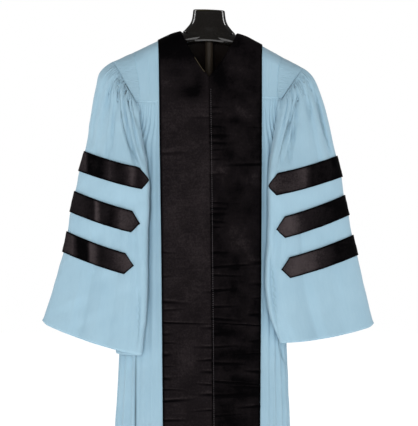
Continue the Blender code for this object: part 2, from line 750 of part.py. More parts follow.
def fold_depth(side, place, station, face):
    total = 0.0
    for fold in SLEEVE_FOLDS[side]:
        if fold.face != face or not fold.head <= station <= fold.end:
            continue
        way = (station - fold.head) / (min(fold.end, len(SLEEVE[side]) - 1) - fold.head)
        middle = fold.head_place + (fold.end_place - fold.head_place) * way
        ends = min(1.0, (station - fold.head) / FOLD_START, max(fold.end - station, 0.0) / FOLD_END)
        total += fold.depth * ends * math.exp(-(((place - middle) / fold.width) ** 2))
    gathers = max(0.0, 1.0 - station / HEAD_GATHER_FADE) * min(station, 1)
    total += HEAD_GATHER_DEPTH * gathers * math.cos(2 * math.pi * HEAD_GATHERS * place)
    return total


def clear_of_body(side, point):
    """The point, moved straight out of the body where it would come too near to it."""
    across, level, height = point
    face = -1 if level < 0 else 1
    reach = float(side_value(HALF_WIDTH, side, height)) + BODY_CLEARANCE
    depth = float(body_depth(across, height, face)) + BODY_CLEARANCE
    size = (abs(across) / reach) ** ROUND_POWER + (abs(level) / depth) ** ROUND_POWER
    if size >= 1.0 or side * across <= 0:
        return point
    grow = size ** (-1.0 / ROUND_POWER)
    return np.array([across * grow, level * grow, height])


def build_sleeve(side, front, yoke, back, looks, group):
    name = SIDE_NAME[side]
    cap = cap_grid(side, front, yoke)
    cloth(f"cap_{name}", handed(cap, side), CLOTH_WALL, looks["cloth"], group)
    head = sleeve_head(side, cap, front, back)
    rings = sleeve_grid(side, head)
    cloth(f"sleeve_{name}", handed(rings, side), CLOTH_WALL, looks["cloth"], group, closed=True)
    for number, bar in enumerate(BARS[side], start=1):
        build_bar(f"bar_{name}_{number}", side, rings, bar, looks, group)


def build_bar(name, side, rings, bar, looks, group):
    """A velvet bar round the outer half of a sleeve, pointed at both of its ends."""
    outer = laid_on(rings, BAR_GAP, side, closed=True)
    count = rings.shape[1]
    places = [place_of(column, count) for column in range(count)]
    first = min(range(FRONT_SLEEVE_COLUMNS), key=lambda column: abs(places[column] - bar.tip_place))
    back_columns = range(FRONT_SLEEVE_COLUMNS + 1, count)
    last = min(back_columns, key=lambda column: abs(places[column] - bar.tip_place - BACK_POINT_OUT))
    columns = list(range(first, last + 1))
    grid = np.zeros((2, len(columns), 3))
    for index, column in enumerate(columns):
        from_tip = min(index, len(columns) - 1 - index)
        share = max(min(from_tip / BAR_POINT_COLUMNS, 1.0), BAR_TIP_SHARE)
        top = outer[bar.top, column]
        bottom = outer[bar.top + 1, column]
        middle = (top + bottom) / 2
        grid[0, index] = middle + (top - middle) * share
        grid[1, index] = middle + (bottom - middle) * share
    cloth(name, handed(grid, side), VELVET_WALL, looks["velvet"], group, outward=True)


def place_of(column, count):
    if column <= FRONT_SLEEVE_COLUMNS:
        turn = math.pi * column / FRONT_SLEEVE_COLUMNS
    else:
        turn = math.pi + math.pi * (column - FRONT_SLEEVE_COLUMNS) / (count - FRONT_SLEEVE_COLUMNS)
    swing = math.copysign(abs(math.cos(turn)) ** SECTION_POWER, math.cos(turn))
    return (1 - swing) / 2


def build_zip(looks, group):
    """The zip's tape behind the two front edges."""
    heights = [height for height in (ZIP_TOP_HEIGHT, *FRONT_HEIGHTS) if height > ZIP_END_HEIGHT]
    rows = []
    for height in heights + [ZIP_END_HEIGHT]:
        middle = float(zip_line(height))
        row = []
        for out in (-ZIP_TAPE_HALF, ZIP_TAPE_HALF):
            across = middle + out
            point = body_point(1 if across >= 0 else -1, abs(across), height, -1)
            row.append(point + np.array([0, CLOTH_WALL + SEAM_GAP * 1.5, 0]))
        rows.append(row)
    cloth("zip", np.array(rows), LINING_WALL, looks["zip"], group)


def form_top(across):
    return float(ridge(across)) - CLOTH_WALL - REST_GAP


def form_wings():
    """The sloping shoulders of the form, as rings lofted from one tip to the other."""
    mesh = bmesh.new()
    rings = []
    for step in range(FORM_SECTIONS):
        swing = -math.cos(math.pi * step / (FORM_SECTIONS - 1))
        across = FORM_REACH * math.copysign(abs(swing) ** FORM_SPACING, swing)
        half_height = float(from_table(FORM_SHAPE, abs(across), "out", "half_height"))
        half_depth = float(from_table(FORM_SHAPE, abs(across), "out", "half_depth"))
        middle = form_top(across) - half_height
        ring = []
        for corner in range(RING_SIDES // 2):
            turn = 2 * math.pi * corner / (RING_SIDES // 2)
            level = half_depth * math.cos(turn)
            ring.append(mesh.verts.new((across, level, middle + half_height * math.sin(turn))))
        rings.append(ring)
    loft(mesh, rings)
    return mesh


def form_block():
    """The neck block, as level rings that flare out into the shoulders."""
    mesh = bmesh.new()
    rings = []
    for row in NECK_BLOCK:
        ring = []
        for corner in range(RING_SIDES):
            turn = 2 * math.pi * corner / RING_SIDES
            across = row.half_width * math.cos(turn)
            ring.append(mesh.verts.new((across, row.half_depth * math.sin(turn), row.height - LEAN * across)))
        rings.append(ring)
    loft(mesh, rings)
    return mesh


def loft(mesh, rings):
    for ring, beside in zip(rings, rings[1:]):
        for corner in range(len(ring)):
            other = (corner + 1) % len(ring)
            mesh.faces.new((ring[corner], ring[other], beside[other], beside[corner]))
    mesh.faces.new(rings[0])
    mesh.faces.new(rings[-1])
    bmesh.ops.recalc_face_normals(mesh, faces=mesh.faces)


def build_form(looks, group, cutters):
    form = add_object("stand_form", form_wings(), looks["gloss"], group)
    block = add_object("neck_block_join", form_block(), looks["gloss"], cutters)
    block.hide_render = True
    block.display_type = "WIRE"
    join = form.modifiers.new("Neck block", "BOOLEAN")
    join.operation = "UNION"
    join.solver = "EXACT"
    join.object = block


def build_post(looks, group):
    foot = BASE_THICKNESS + COLLAR_HEIGHT + SEAM_GAP
    underside = form_top(POST_RADIUS) - 2 * float(from_table(FORM_SHAPE, POST_RADIUS, "out", "half_height"))
    length = underside - SEAM_GAP - foot
    mesh = bmesh.new()
    bmesh.ops.create_cone(mesh, cap_ends=True, segments=POST_SIDES, radius1=POST_RADIUS,
                          radius2=POST_RADIUS, depth=length)
    bmesh.ops.translate(mesh, verts=mesh.verts, vec=(0, 0, foot + length / 2))
    add_object("stand_post", mesh, looks["steel"], group)


def build_base(looks, group):
    """A turned plate with a rounded rim and a collar that holds the post."""
    top = BASE_THICKNESS + COLLAR_HEIGHT
    profile = [(0.0, top), (COLLAR_RADIUS - COLLAR_EDGE, top), (COLLAR_RADIUS, top - COLLAR_EDGE)]
    profile += [(COLLAR_RADIUS, BASE_THICKNESS)]
    for step in range(RIM_STEPS + 1):
        turn = math.pi / 2 * step / RIM_STEPS
        out = BASE_RADIUS - BASE_RIM + BASE_RIM * math.sin(turn)
        profile.append((out, BASE_THICKNESS - BASE_RIM + BASE_RIM * math.cos(turn)))
    profile += [(BASE_RADIUS, 0.0), (0.0, 0.0)]
    mesh = bmesh.new()
    points = [mesh.verts.new((out, 0.0, height)) for out, height in profile]
    for first, second in zip(points, points[1:]):
        mesh.edges.new((first, second))
    made = add_object("stand_base", mesh, looks["steel"], group)
    turned = made.modifiers.new("Turned", "SCREW")
    turned.steps = BASE_SIDES
    turned.render_steps = BASE_SIDES
    turned.use_merge_vertices = True
    turned.merge_threshold = 0.0001


def main():
    clear_scene()
    group = bpy.data.collections.new("graduation_gown_on_a_display_stand")
    cutters = bpy.data.collections.new("joining_shapes")
    bpy.context.scene.collection.children.link(group)
    bpy.context.scene.collection.children.link(cutters)
    looks = {
        "cloth": material("light_blue_cloth", (0.37, 0.565, 0.687), 0.85),
        "velvet": material("black_velvet", (0.012, 0.010, 0.010), 0.9),
        "lining": material("dark_lining", (0.02, 0.02, 0.022), 0.8),
        "zip": material("zip_tape", (0.01, 0.01, 0.012), 0.7),
        "gloss": material("gloss_black_plastic", (0.008, 0.008, 0.009), 0.12),
        "steel": material("black_coated_steel", (0.012, 0.012, 0.013), 0.35, 0.0),
    }
    fronts = build_fronts(looks, group)
    yoke, back = build_back(looks, group)
    for side in SIDES:
        build_sleeve(side, fronts[side], yoke, back, looks, group)
    build_zip(looks, group)
    build_form(looks, group, cutters)
    build_post(looks, group)
    build_base(looks, group)


main()
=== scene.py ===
import math
from collections import namedtuple

import bmesh
import bpy
import numpy as np
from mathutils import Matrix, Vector


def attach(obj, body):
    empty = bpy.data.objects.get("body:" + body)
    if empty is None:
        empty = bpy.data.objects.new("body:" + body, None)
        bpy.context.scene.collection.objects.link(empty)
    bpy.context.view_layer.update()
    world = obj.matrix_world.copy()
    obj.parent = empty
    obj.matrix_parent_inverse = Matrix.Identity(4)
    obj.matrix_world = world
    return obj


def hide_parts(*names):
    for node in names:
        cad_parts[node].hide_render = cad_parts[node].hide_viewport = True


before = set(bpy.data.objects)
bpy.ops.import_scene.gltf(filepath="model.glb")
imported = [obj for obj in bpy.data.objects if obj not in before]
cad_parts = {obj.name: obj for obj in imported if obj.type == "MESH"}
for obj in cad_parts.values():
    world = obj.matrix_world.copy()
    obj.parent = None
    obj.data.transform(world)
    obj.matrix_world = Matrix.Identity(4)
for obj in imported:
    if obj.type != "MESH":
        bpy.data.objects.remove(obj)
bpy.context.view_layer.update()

# The gown's own sizes and tables, in metres, as the solids have them

# Walls and gaps
CLOTH_WALL = 0.0016
VELVET_WALL = 0.0016
LINING_WALL = 0.0010
SEAM_GAP = 0.0004
SIDE_GAP = 0.0007
LAID_GAP = 0.0004
REST_GAP = 0.0008

# Heights
HEM_HEIGHT = 0.170
UNDERARM_HEIGHT = 1.180

# The gown's shoulders lean down a little to the right, as it hangs
LEAN = 0.039
SHOULDER_DEPTH = 0.048
SHOULDER_DROP = 0.034
FRONT_FLARE = 0.055
BACK_FLARE = 0.066
FLARE_POWER = 0.9
ROUND_POWER = 3.0
ROUND_STEPS = 400

RidgePoint = namedtuple("RidgePoint", "out height")
RIDGE = (
    RidgePoint(0.000, 1.4980),
    RidgePoint(0.075, 1.4885),
    RidgePoint(0.135, 1.4625),
    RidgePoint(0.200, 1.4290),
    RidgePoint(0.260, 1.4030),
    RidgePoint(0.320, 1.3700),
)

# How far the body reaches to each side
WidthPoint = namedtuple("WidthPoint", "height left right")
HALF_WIDTH = (
    WidthPoint(0.170, 0.266, 0.228),
    WidthPoint(0.500, 0.246, 0.213),
    WidthPoint(0.630, 0.2385, 0.2065),
    WidthPoint(0.900, 0.222, 0.204),
    WidthPoint(1.100, 0.208, 0.202),
    WidthPoint(1.180, 0.206, 0.202),
    WidthPoint(1.300, 0.226, 0.220),
    WidthPoint(1.460, 0.290, 0.284),
)

# The armhole seam, above the underarm
ARMHOLE = (
    WidthPoint(1.180, 0.2058, 0.2018),
    WidthPoint(1.250, 0.194, 0.192),
    WidthPoint(1.305, 0.187, 0.185),
    WidthPoint(1.335, 0.184, 0.182),
    WidthPoint(1.387, 0.1915, 0.185),
    WidthPoint(1.440, 0.200, 0.198),
)

# The velvet's outer edge, from the shoulder to the hem
VELVET_EDGE = (
    WidthPoint(0.170, 0.120, 0.133),
    WidthPoint(0.494, 0.122, 0.135),
    WidthPoint(0.912, 0.126, 0.138),
    WidthPoint(1.177, 0.130, 0.1395),
    WidthPoint(1.416, 0.133, 0.1400),
    WidthPoint(1.500, 0.135, 0.1390),
)

# The closed front runs down with the lean
ZIP_HALF = 0.0010
ZIP_TAPE_HALF = 0.0120
ZIP_TOP_HEIGHT = 1.360
ZIP_END_HEIGHT = 0.520
ZIP_LINE = ((0.170, 0.0100), (0.494, 0.0080), (1.100, 0.0025), (1.366, -0.0005), (1.500, -0.0005))

# Rows of the front: a share of the way from the shoulder to the yoke seam, then heights
YOKE_SEAM = {-1: 1.303, 1: 1.313}
VELVET_TOP_OUT = 0.137
ARMHOLE_TOP_OUT = 0.200
YOKE_SHARES = (0.0, 0.008, 0.03, 0.10, 0.22, 0.40, 0.60, 0.76, 1.0)
FRONT_HEIGHTS = (1.250, UNDERARM_HEIGHT, 1.050, 0.880, 0.700, 0.500, 0.330, HEM_HEIGHT)
COVERED_COLUMNS = 3
FLUTED_COLUMNS = 24

NeckPoint = namedtuple("NeckPoint", "share out height")
NECK_OUT = 0.0755
V_NECK = (
    NeckPoint(0.00, NECK_OUT, 1.4885),
    NeckPoint(0.22, 0.0590, 1.4550),
    NeckPoint(0.60, 0.0190, 1.3920),
    NeckPoint(0.76, 0.0010, 1.3660),
)

# Flutes of each front panel: their place between the velvet and the side, and their depth
Flute = namedtuple("Flute", "top_place hem_place top_depth hem_depth width")
FRONT_FLUTES = {
    -1: (
        Flute(0.10, 0.10, 0.004, 0.008, 0.045),
        Flute(0.26, 0.22, 0.004, 0.010, 0.045),
        Flute(0.43, 0.36, 0.004, 0.011, 0.050),
        Flute(0.59, 0.53, 0.003, 0.016, 0.055),
        Flute(0.74, 0.69, 0.003, 0.012, 0.050),
        Flute(0.89, 0.86, 0.003, 0.010, 0.045),
    ),
    1: (
        Flute(0.10, 0.09, 0.005, 0.007, 0.040),
        Flute(0.28, 0.22, 0.005, 0.009, 0.045),
        Flute(0.45, 0.37, 0.005, 0.010, 0.045),
        Flute(0.62, 0.55, 0.004, 0.012, 0.050),
        Flute(0.78, 0.73, 0.003, 0.015, 0.055),
        Flute(0.91, 0.88, 0.003, 0.009, 0.040),
    ),
}

# The back
NECK_BACK_DROP = 0.030
BAND_BACK_DROP = 0.088
BACK_SEAM_SIDE = 1.335
BACK_SEAM_MIDDLE = 1.322
BACK_SEAM_REACH = 0.184
BACK_CORNER_CURVE = 1.5
BACK_YOKE_COLUMNS = 24
BACK_YOKE_RINGS = 6
YOKE_CROWDING = 0.6
BAND_RINGS = 3
LINING_COLUMNS = (6, 18)
BACK_HEIGHTS = (1.250, UNDERARM_HEIGHT, 0.960, 0.600, HEM_HEIGHT)
BACK_FLUTES = 16
COLUMNS_PER_FLUTE = 5
Swell = namedtuple("Swell", "size rate start")
FLUTE_SWELLS = (Swell(0.25, 23.0, 0.0), Swell(0.15, 61.0, 1.0))
FLUTE_DRIFT = Swell(0.16, 17.0, 0.0)
BACK_FLUTE_DEPTH = ((0.170, 0.0170), (0.700, 0.0130), (1.180, 0.0080), (1.340, 0.0040))

# The sleeve cap and the gathered line at its outer edge
Cap = namedtuple("Cap", "top_out top_height tip_out")
CAPS = {
    -1: Cap(0.2540, 1.4125, 0.1925),
    1: Cap(0.2490, 1.3960, 0.1925),
}
CAP_ROWS = 2

# Sleeve sections from the gathered head to the hem: the outer and inner edges of each section,
# how far in front of the mid plane they hang and how deep the section is there
Section = namedtuple("Section", "outer_out outer_height inner_out inner_height forward depth back_depth")
SLEEVE = {
    -1: (
        Section(0.2540, 1.4130, 0.1950, 1.3070, 0.042, 0.052, 0.052),
        Section(0.2860, 1.3800, 0.1895, 1.2700, 0.056, 0.052, 0.084),
        Section(0.3000, 1.3365, 0.1815, 1.2225, 0.066, 0.050, 0.098),
        Section(0.3125, 1.2780, 0.1735, 1.1825, 0.074, 0.046, 0.104),
        Section(0.3205, 1.2225, 0.1670, 1.1510, 0.080, 0.044, 0.104),
        Section(0.3290, 1.1745, 0.1630, 1.1250, 0.084, 0.042, 0.102),
        Section(0.3445, 1.1215, 0.1570, 1.0685, 0.089, 0.040, 0.098),
        Section(0.3550, 1.0685, 0.1590, 1.0065, 0.090, 0.039, 0.094),
        Section(0.3675, 1.0130, 0.1615, 0.9495, 0.090, 0.038, 0.092),
        Section(0.3750, 0.9615, 0.1617, 0.8910, 0.090, 0.038, 0.090),
        Section(0.3870, 0.9070, 0.1617, 0.8355, 0.090, 0.038, 0.088),
        Section(0.4150, 0.8065, 0.1655, 0.7430, 0.091, 0.038, 0.086),
        Section(0.4435, 0.7190, 0.1775, 0.6340, 0.092, 0.038, 0.084),
    ),
    1: (
        Section(0.2490, 1.3960, 0.1950, 1.3140, 0.042, 0.052, 0.052),
        Section(0.2730, 1.3655, 0.1895, 1.2755, 0.056, 0.052, 0.084),
        Section(0.2910, 1.3310, 0.1800, 1.2305, 0.066, 0.050, 0.098),
        Section(0.3085, 1.2835, 0.1710, 1.1855, 0.074, 0.046, 0.104),
        Section(0.3230, 1.2250, 0.1630, 1.1430, 0.080, 0.044, 0.104),
        Section(0.3380, 1.1620, 0.1585, 1.1095, 0.084, 0.042, 0.102),
        Section(0.3525, 1.1060, 0.1565, 1.0520, 0.089, 0.040, 0.098),
        Section(0.3580, 1.0580, 0.1565, 0.9910, 0.090, 0.039, 0.094),
        Section(0.3705, 1.0045, 0.1550, 0.9335, 0.090, 0.038, 0.092),
        Section(0.3805, 0.9520, 0.1505, 0.8800, 0.090, 0.038, 0.090),
        Section(0.3935, 0.8985, 0.1485, 0.8250, 0.090, 0.038, 0.088),
        Section(0.4155, 0.8035, 0.1575, 0.7535, 0.091, 0.038, 0.086),
        Section(0.4380, 0.7110, 0.1880, 0.6670, 0.092, 0.038, 0.084),
    ),
}
OUTER_FORWARD = 0.012
SECTION_POWER = 0.8
HEM_SAG = 0.010
FRONT_SLEEVE_COLUMNS = 30
CAP_BACK_COLUMNS = 10
ARMHOLE_COLUMNS = 5
SEAM_FADE = (1.0, 0.82, 0.59, 0.38, 0.22, 0.07)
BODY_CLEARANCE = 0.0080

# Folds of the sleeves: their place across the front or back, from the inner edge to the outer,
# the sections between which they run, their depth and their width as a share
Fold = namedtuple("Fold", "face head_place end_place head end depth width")
SLEEVE_FOLDS = {
    -1: (
        Fold(-1, 0.50, 0.66, 0.3, 6.0, 0.011, 0.060),
        Fold(-1, 0.34, 0.11, 0.3, 6.2, 0.013, 0.050),
        Fold(-1, 0.17, 0.04, 0.2, 5.0, 0.009, 0.045),
        Fold(-1, 0.72, 0.84, 0.3, 6.5, 0.008, 0.060),
        Fold(-1, 0.90, 0.93, 0.3, 5.5, 0.005, 0.040),
        Fold(-1, 0.60, 0.64, 7.5, 15.0, 0.012, 0.080),
        Fold(-1, 0.22, 0.10, 6.5, 15.0, 0.010, 0.060),
        Fold(-1, 0.38, 0.36, 6.0, 15.0, 0.007, 0.080),
        Fold(1, 0.30, 0.20, 0.3, 7.5, 0.010, 0.055),
        Fold(1, 0.52, 0.46, 0.3, 15.0, 0.012, 0.065),
        Fold(1, 0.74, 0.70, 0.3, 15.0, 0.010, 0.060),
        Fold(1, 0.90, 0.88, 0.3, 6.5, 0.006, 0.045),
    ),
    1: (
        Fold(-1, 0.35, 0.09, 0.3, 6.0, 0.012, 0.050),
        Fold(-1, 0.52, 0.17, 0.3, 6.0, 0.010, 0.050),
        Fold(-1, 0.70, 0.74, 0.3, 6.5, 0.008, 0.060),
        Fold(-1, 0.90, 0.91, 0.2, 6.5, 0.010, 0.040),
        Fold(-1, 0.18, 0.04, 0.2, 5.0, 0.008, 0.045),
        Fold(-1, 0.12, 0.07, 6.5, 15.0, 0.010, 0.050),
        Fold(-1, 0.44, 0.40, 6.5, 15.0, 0.010, 0.080),
        Fold(-1, 0.72, 0.70, 7.5, 15.0, 0.007, 0.080),
        Fold(1, 0.32, 0.24, 0.3, 7.5, 0.010, 0.055),
        Fold(1, 0.55, 0.50, 0.3, 15.0, 0.012, 0.065),
        Fold(1, 0.76, 0.74, 0.3, 15.0, 0.009, 0.060),
        Fold(1, 0.91, 0.90, 0.3, 6.5, 0.006, 0.045),
    ),
}
FOLD_START = 1.2
FOLD_END = 1.5
FOLD_EDGE_POWER = 0.5
HEAD_GATHERS = 8
HEAD_GATHER_DEPTH = 0.0030
HEAD_GATHER_FADE = 2.6

# Sleeve bars: the section at their top edge, and how far their points stay from the inner edge
Bar = namedtuple("Bar", "top tip_place")
BARS = {
    -1: (Bar(5, 0.01), Bar(7, 0.10), Bar(9, 0.18)),
    1: (Bar(5, 0.01), Bar(7, 0.10), Bar(9, 0.19)),
}
BACK_POINT_OUT = 0.22
BAR_GAP = 0.0008

# The form, its post and its base
FORM_SECTIONS = 25
FORM_REACH = 0.188
FORM_SPACING = 0.8
BASE_RADIUS = 0.180
BASE_THICKNESS = 0.012
BASE_RIM = 0.004
COLLAR_RADIUS = 0.024
COLLAR_HEIGHT = 0.034
COLLAR_EDGE = 0.002

FormPoint = namedtuple("FormPoint", "out half_height half_depth")
FORM_SHAPE = (
    FormPoint(0.000, 0.0145, 0.0310),
    FormPoint(0.058, 0.0180, 0.0290),
    FormPoint(0.120, 0.0250, 0.0275),
    FormPoint(0.165, 0.0250, 0.0255),
    FormPoint(0.179, 0.0210, 0.0220),
    FormPoint(0.185, 0.0150, 0.0160),
    FormPoint(0.188, 0.0060, 0.0070),
)

BlockPoint = namedtuple("BlockPoint", "height half_width half_depth")
NECK_BLOCK = (
    BlockPoint(1.4760, 0.0560, 0.0260),
    BlockPoint(1.4850, 0.0690, 0.0300),
    BlockPoint(1.4890, 0.0690, 0.0310),
    BlockPoint(1.4940, 0.0645, 0.0315),
    BlockPoint(1.5020, 0.0575, 0.0315),
    BlockPoint(1.5120, 0.0500, 0.0310),
    BlockPoint(1.5250, 0.0450, 0.0305),
    BlockPoint(1.5380, 0.0430, 0.0300),
    BlockPoint(1.5460, 0.0422, 0.0298),
    BlockPoint(1.5490, 0.0405, 0.0285),
    BlockPoint(1.5500, 0.0370, 0.0255),
    BlockPoint(1.5508, 0.0200, 0.0140),
)

SIDES = (-1, 1)
SIDE_NAME = {-1: "left", 1: "right"}


def flow(at, knots, values):
    """A smooth line through a table's values, or through rows of points, that never swings past them."""
    knots = np.asarray(knots, float)
    values = np.asarray(values, float)
    at = np.clip(np.asarray(at, float), knots[0], knots[-1])
    spread = (-1,) + (1,) * (values.ndim - 1)
    steps = np.diff(knots)
    slopes = np.diff(values, axis=0) / steps.reshape(spread)
    tangents = np.zeros_like(values)
    tangents[0] = slopes[0]
    tangents[-1] = slopes[-1]
    before, after = slopes[:-1], slopes[1:]
    same = before * after > 0
    total = np.where(same, before + after, 1.0)
    tangents[1:-1] = np.where(same, 2 * before * after / total, 0.0)
    span = np.clip(np.searchsorted(knots, at, side="right") - 1, 0, len(steps) - 1)
    shape = np.shape(at) + (1,) * (values.ndim - 1)
    part = ((at - knots[span]) / steps[span]).reshape(shape)
    width = steps[span].reshape(shape)
    rest = 1 - part
    line = values[span] * rest * rest * (1 + 2 * part) + values[span + 1] * part * part * (3 - 2 * part)
    return line + width * part * rest * (tangents[span] * rest - tangents[span + 1] * part)


def lengths_along(points):
    """How far along a broken line each of its points lies."""
    return np.concatenate([[0.0], np.cumsum(np.linalg.norm(np.diff(points, axis=0), axis=1))])


def from_table(table, at, knot, value):
    """A named column of a table, read smoothly at any place along another named column."""
    return flow(at, [getattr(row, knot) for row in table], [getattr(row, value) for row in table])


def side_value(table, side, height):
    return from_table(table, height, "height", SIDE_NAME[side])


def ridge(across):
    """The height of the shoulder line over any place across the gown."""
    return from_table(RIDGE, np.abs(across), "out", "height") - LEAN * across


def armhole_top(side):
    """The height at which the armhole seam meets the shoulder line."""
    out = ARMHOLE_TOP_OUT
    for _ in range(12):
        height = float(ridge(side * out))
        out = float(side_value(ARMHOLE, side, height))
    return height


def zip_line(height):
    knots = [row[0] for row in ZIP_LINE]
    return flow(height, knots, [row[1] for row in ZIP_LINE])


def front_edge(side, height):
    return ZIP_HALF + side * zip_line(height)


def body_depth(across, height, face):
    """How far the cloth stands from the mid plane before it rounds in towards the side."""
    drop = np.maximum(ridge(across) - height, 0.0)
    near = np.minimum(drop / SHOULDER_DROP, 1.0)
    flare = FRONT_FLARE if face < 0 else BACK_FLARE
    over_shoulder = SHOULDER_DEPTH * np.sqrt(np.maximum(1.0 - (1.0 - near) ** 2, 0.0))
    return over_shoulder + flare * np.maximum(drop - SHOULDER_DROP, 0.0) ** FLARE_POWER


def body_point(side, out, height, face):
    """A point of the gown's body, at a distance out from the middle on one side."""
    ratio = np.minimum(np.abs(out) / side_value(HALF_WIDTH, side, height), 1.0)
    rounding = (1.0 - ratio**ROUND_POWER) ** (1.0 / ROUND_POWER)
    across = side * out
    return np.array([across, face * body_depth(across, height, face) * rounding, height])


def body_outward(side, out, height, face, point):
    """The level direction that leads straight out of the body at one of its points."""
    reach = side_value(HALF_WIDTH, side, height)
    depth = max(float(body_depth(side * out, height, face)), 1e-4)
    slope_x = side * (min(abs(out) / reach, 1.0) ** (ROUND_POWER - 1)) / reach
    slope_y = face * (min(abs(point[1]) / depth, 1.0) ** (ROUND_POWER - 1)) / depth
    length = math.hypot(slope_x, slope_y)
    return np.array([slope_x / length, slope_y / length, 0.0])


def normals(grid, closed=False):
    """The outward direction at each point of a grid with rows down and columns across."""
    down = np.gradient(grid, axis=0)
    if closed:
        across = (np.roll(grid, -1, axis=1) - np.roll(grid, 1, axis=1)) / 2
    else:
        across = np.gradient(grid, axis=1)
    found = np.cross(down, across)
    return found / np.maximum(np.linalg.norm(found, axis=2, keepdims=True), 1e-9)


def front_grid(side):
    """The whole front of one side, from the shoulder to the hem and from the zip to the side."""
    grid = []
    seam = YOKE_SEAM[side]
    for share in YOKE_SHARES:
        if share >= V_NECK[-1].share:
            low = (share - V_NECK[-1].share) / (1.0 - V_NECK[-1].share)
            inner_height = V_NECK[-1].height + (seam - V_NECK[-1].height) * low
            inner = float(front_edge(side, inner_height))
        else:
            inner = float(from_table(V_NECK, share, "share", "out"))
            inner_height = float(from_table(V_NECK, share, "share", "height")) - LEAN * side * inner
        edge = float(side_value(VELVET_EDGE, side, float(ridge(side * VELVET_TOP_OUT))))
        edge_top = float(ridge(side * edge))
        edge_height = edge_top + (seam - edge_top) * share
        edge = float(side_value(VELVET_EDGE, side, edge_height))
        arm_top = armhole_top(side)
        arm_height = arm_top + (seam - arm_top) * share
        arm = float(side_value(ARMHOLE, side, arm_height))
        row = between((inner, inner_height), (edge, edge_height), COVERED_COLUMNS)[:-1]
        row += between((edge, edge_height), (arm, arm_height), FLUTED_COLUMNS)
        if share == YOKE_SHARES[0]:
            lifts = [float(ridge(side * out)) - height for out, height in row]
        grid.append([body_point(side, out, height + sheen_lift * (1 - share), -1)
                     for (out, height), sheen_lift in zip(row, lifts)])
    for height in FRONT_HEIGHTS:
        grid.append(front_row(side, height))
    return np.array(grid, float)


def between(first, last, count):
    """Evenly spaced places from one pair of values to another, with both ends."""
    first = np.array(first)
    last = np.array(last)
    return [tuple(first + (last - first) * step / count) for step in range(count + 1)]


def front_row(side, height):
    """One row of the front below the yoke seam, smooth under the velvet and then fluted."""
    inner = float(front_edge(side, height))
    edge = float(side_value(VELVET_EDGE, side, height))
    covered = between((inner, height), (edge, height), COVERED_COLUMNS)[:-1]
    row = [body_point(side, out, level, -1) for out, level in covered]
    down = (YOKE_SEAM[side] - height) / (YOKE_SEAM[side] - HEM_HEIGHT)
    for step in range(FLUTED_COLUMNS + 1):
        place = step / FLUTED_COLUMNS
        out = fanned_out(side, height, edge, place, -1)
        point = body_point(side, out, height, -1)
        depth = sum(groove(flute, place, down) for flute in FRONT_FLUTES[side])
        fade = edge_fade(min(step, FLUTED_COLUMNS - step))
        row.append(point - body_outward(side, out, height, -1, point) * depth * fade)
    return row


def edge_fade(columns):
    """Nothing at a panel's edge and one column in, then up to the whole depth of a flute."""
    return min(max(columns - 1, 0) / 2, 1.0)


def groove(flute, place, down):
    middle = flute.top_place + (flute.hem_place - flute.top_place) * down
    depth = flute.top_depth + (flute.hem_depth - flute.top_depth) * down
    return depth * math.exp(-(((place - middle) / flute.width) ** 2))


def side_edge(side, height):
    """Where a panel ends at its side: the armhole seam, or the side seam below it."""
    if height > UNDERARM_HEIGHT:
        return float(side_value(ARMHOLE, side, height))
    return float(side_value(HALF_WIDTH, side, height))


def fanned_out(side, height, start, place, face):
    """Columns spaced evenly round the rounded side of the body, from a start to its edge."""
    reach = float(side_value(HALF_WIDTH, side, height))
    depth = float(body_depth(side * start, height, face))
    turns = np.linspace(0.0, math.pi / 2, ROUND_STEPS)
    outs = reach * np.sin(turns) ** (2 / ROUND_POWER)
    levels = depth * np.cos(turns) ** (2 / ROUND_POWER)
    run = np.concatenate([[0.0], np.cumsum(np.hypot(np.diff(outs), np.diff(levels)))])
    first, last = np.interp([start, side_edge(side, height)], outs, run)
    return float(np.interp(first + (last - first) * place, run, outs))


def lower_edge_gap(grid, row):
    """The same grid from one row down, with its top set below the seam by the seam's gap."""
    part = grid[row:].copy()
    down = part[1] - part[0]
    part[0] += down / np.linalg.norm(down, axis=1, keepdims=True) * SEAM_GAP
    return part


def crowded(even):
    """Even shares of the back yoke's columns, drawn together towards the two shoulders."""
    return even + (0.5 - 0.5 * math.cos(math.pi * even) - even) * YOKE_CROWDING


def back_yoke_grid():
    """Rings round the back of the neck, from the right shoulder to the left shoulder."""
    rings = []
    for column in range(BACK_YOKE_COLUMNS + 1):
        share = crowded(column / BACK_YOKE_COLUMNS)
        turn = math.pi * share
        neck = np.array([NECK_OUT * math.cos(turn), NECK_BACK_DROP * math.sin(turn) ** 2])
        side = 1 if share <= 0.5 else -1
        edge = float(side_value(VELVET_EDGE, side, 1.5))
        band = np.array([edge * math.cos(turn), BAND_BACK_DROP * math.sin(turn)])
        rings.append((neck, band, np.array(back_yoke_border(share))))
    grid = np.zeros((BACK_YOKE_RINGS + 1, BACK_YOKE_COLUMNS + 1, 3))
    for column, (neck, band, border) in enumerate(rings):
        for ring in range(BACK_YOKE_RINGS + 1):
            if ring <= BAND_RINGS:
                across, drop = neck + (band - neck) * ring / BAND_RINGS
            else:
                across, drop = band + (border - band) * (ring - BAND_RINGS) / (BACK_YOKE_RINGS - BAND_RINGS)
            side = 1 if across >= 0 else -1
            height = float(ridge(across)) - drop
            grid[ring, column] = body_point(side, abs(across), height, 1)
    return grid


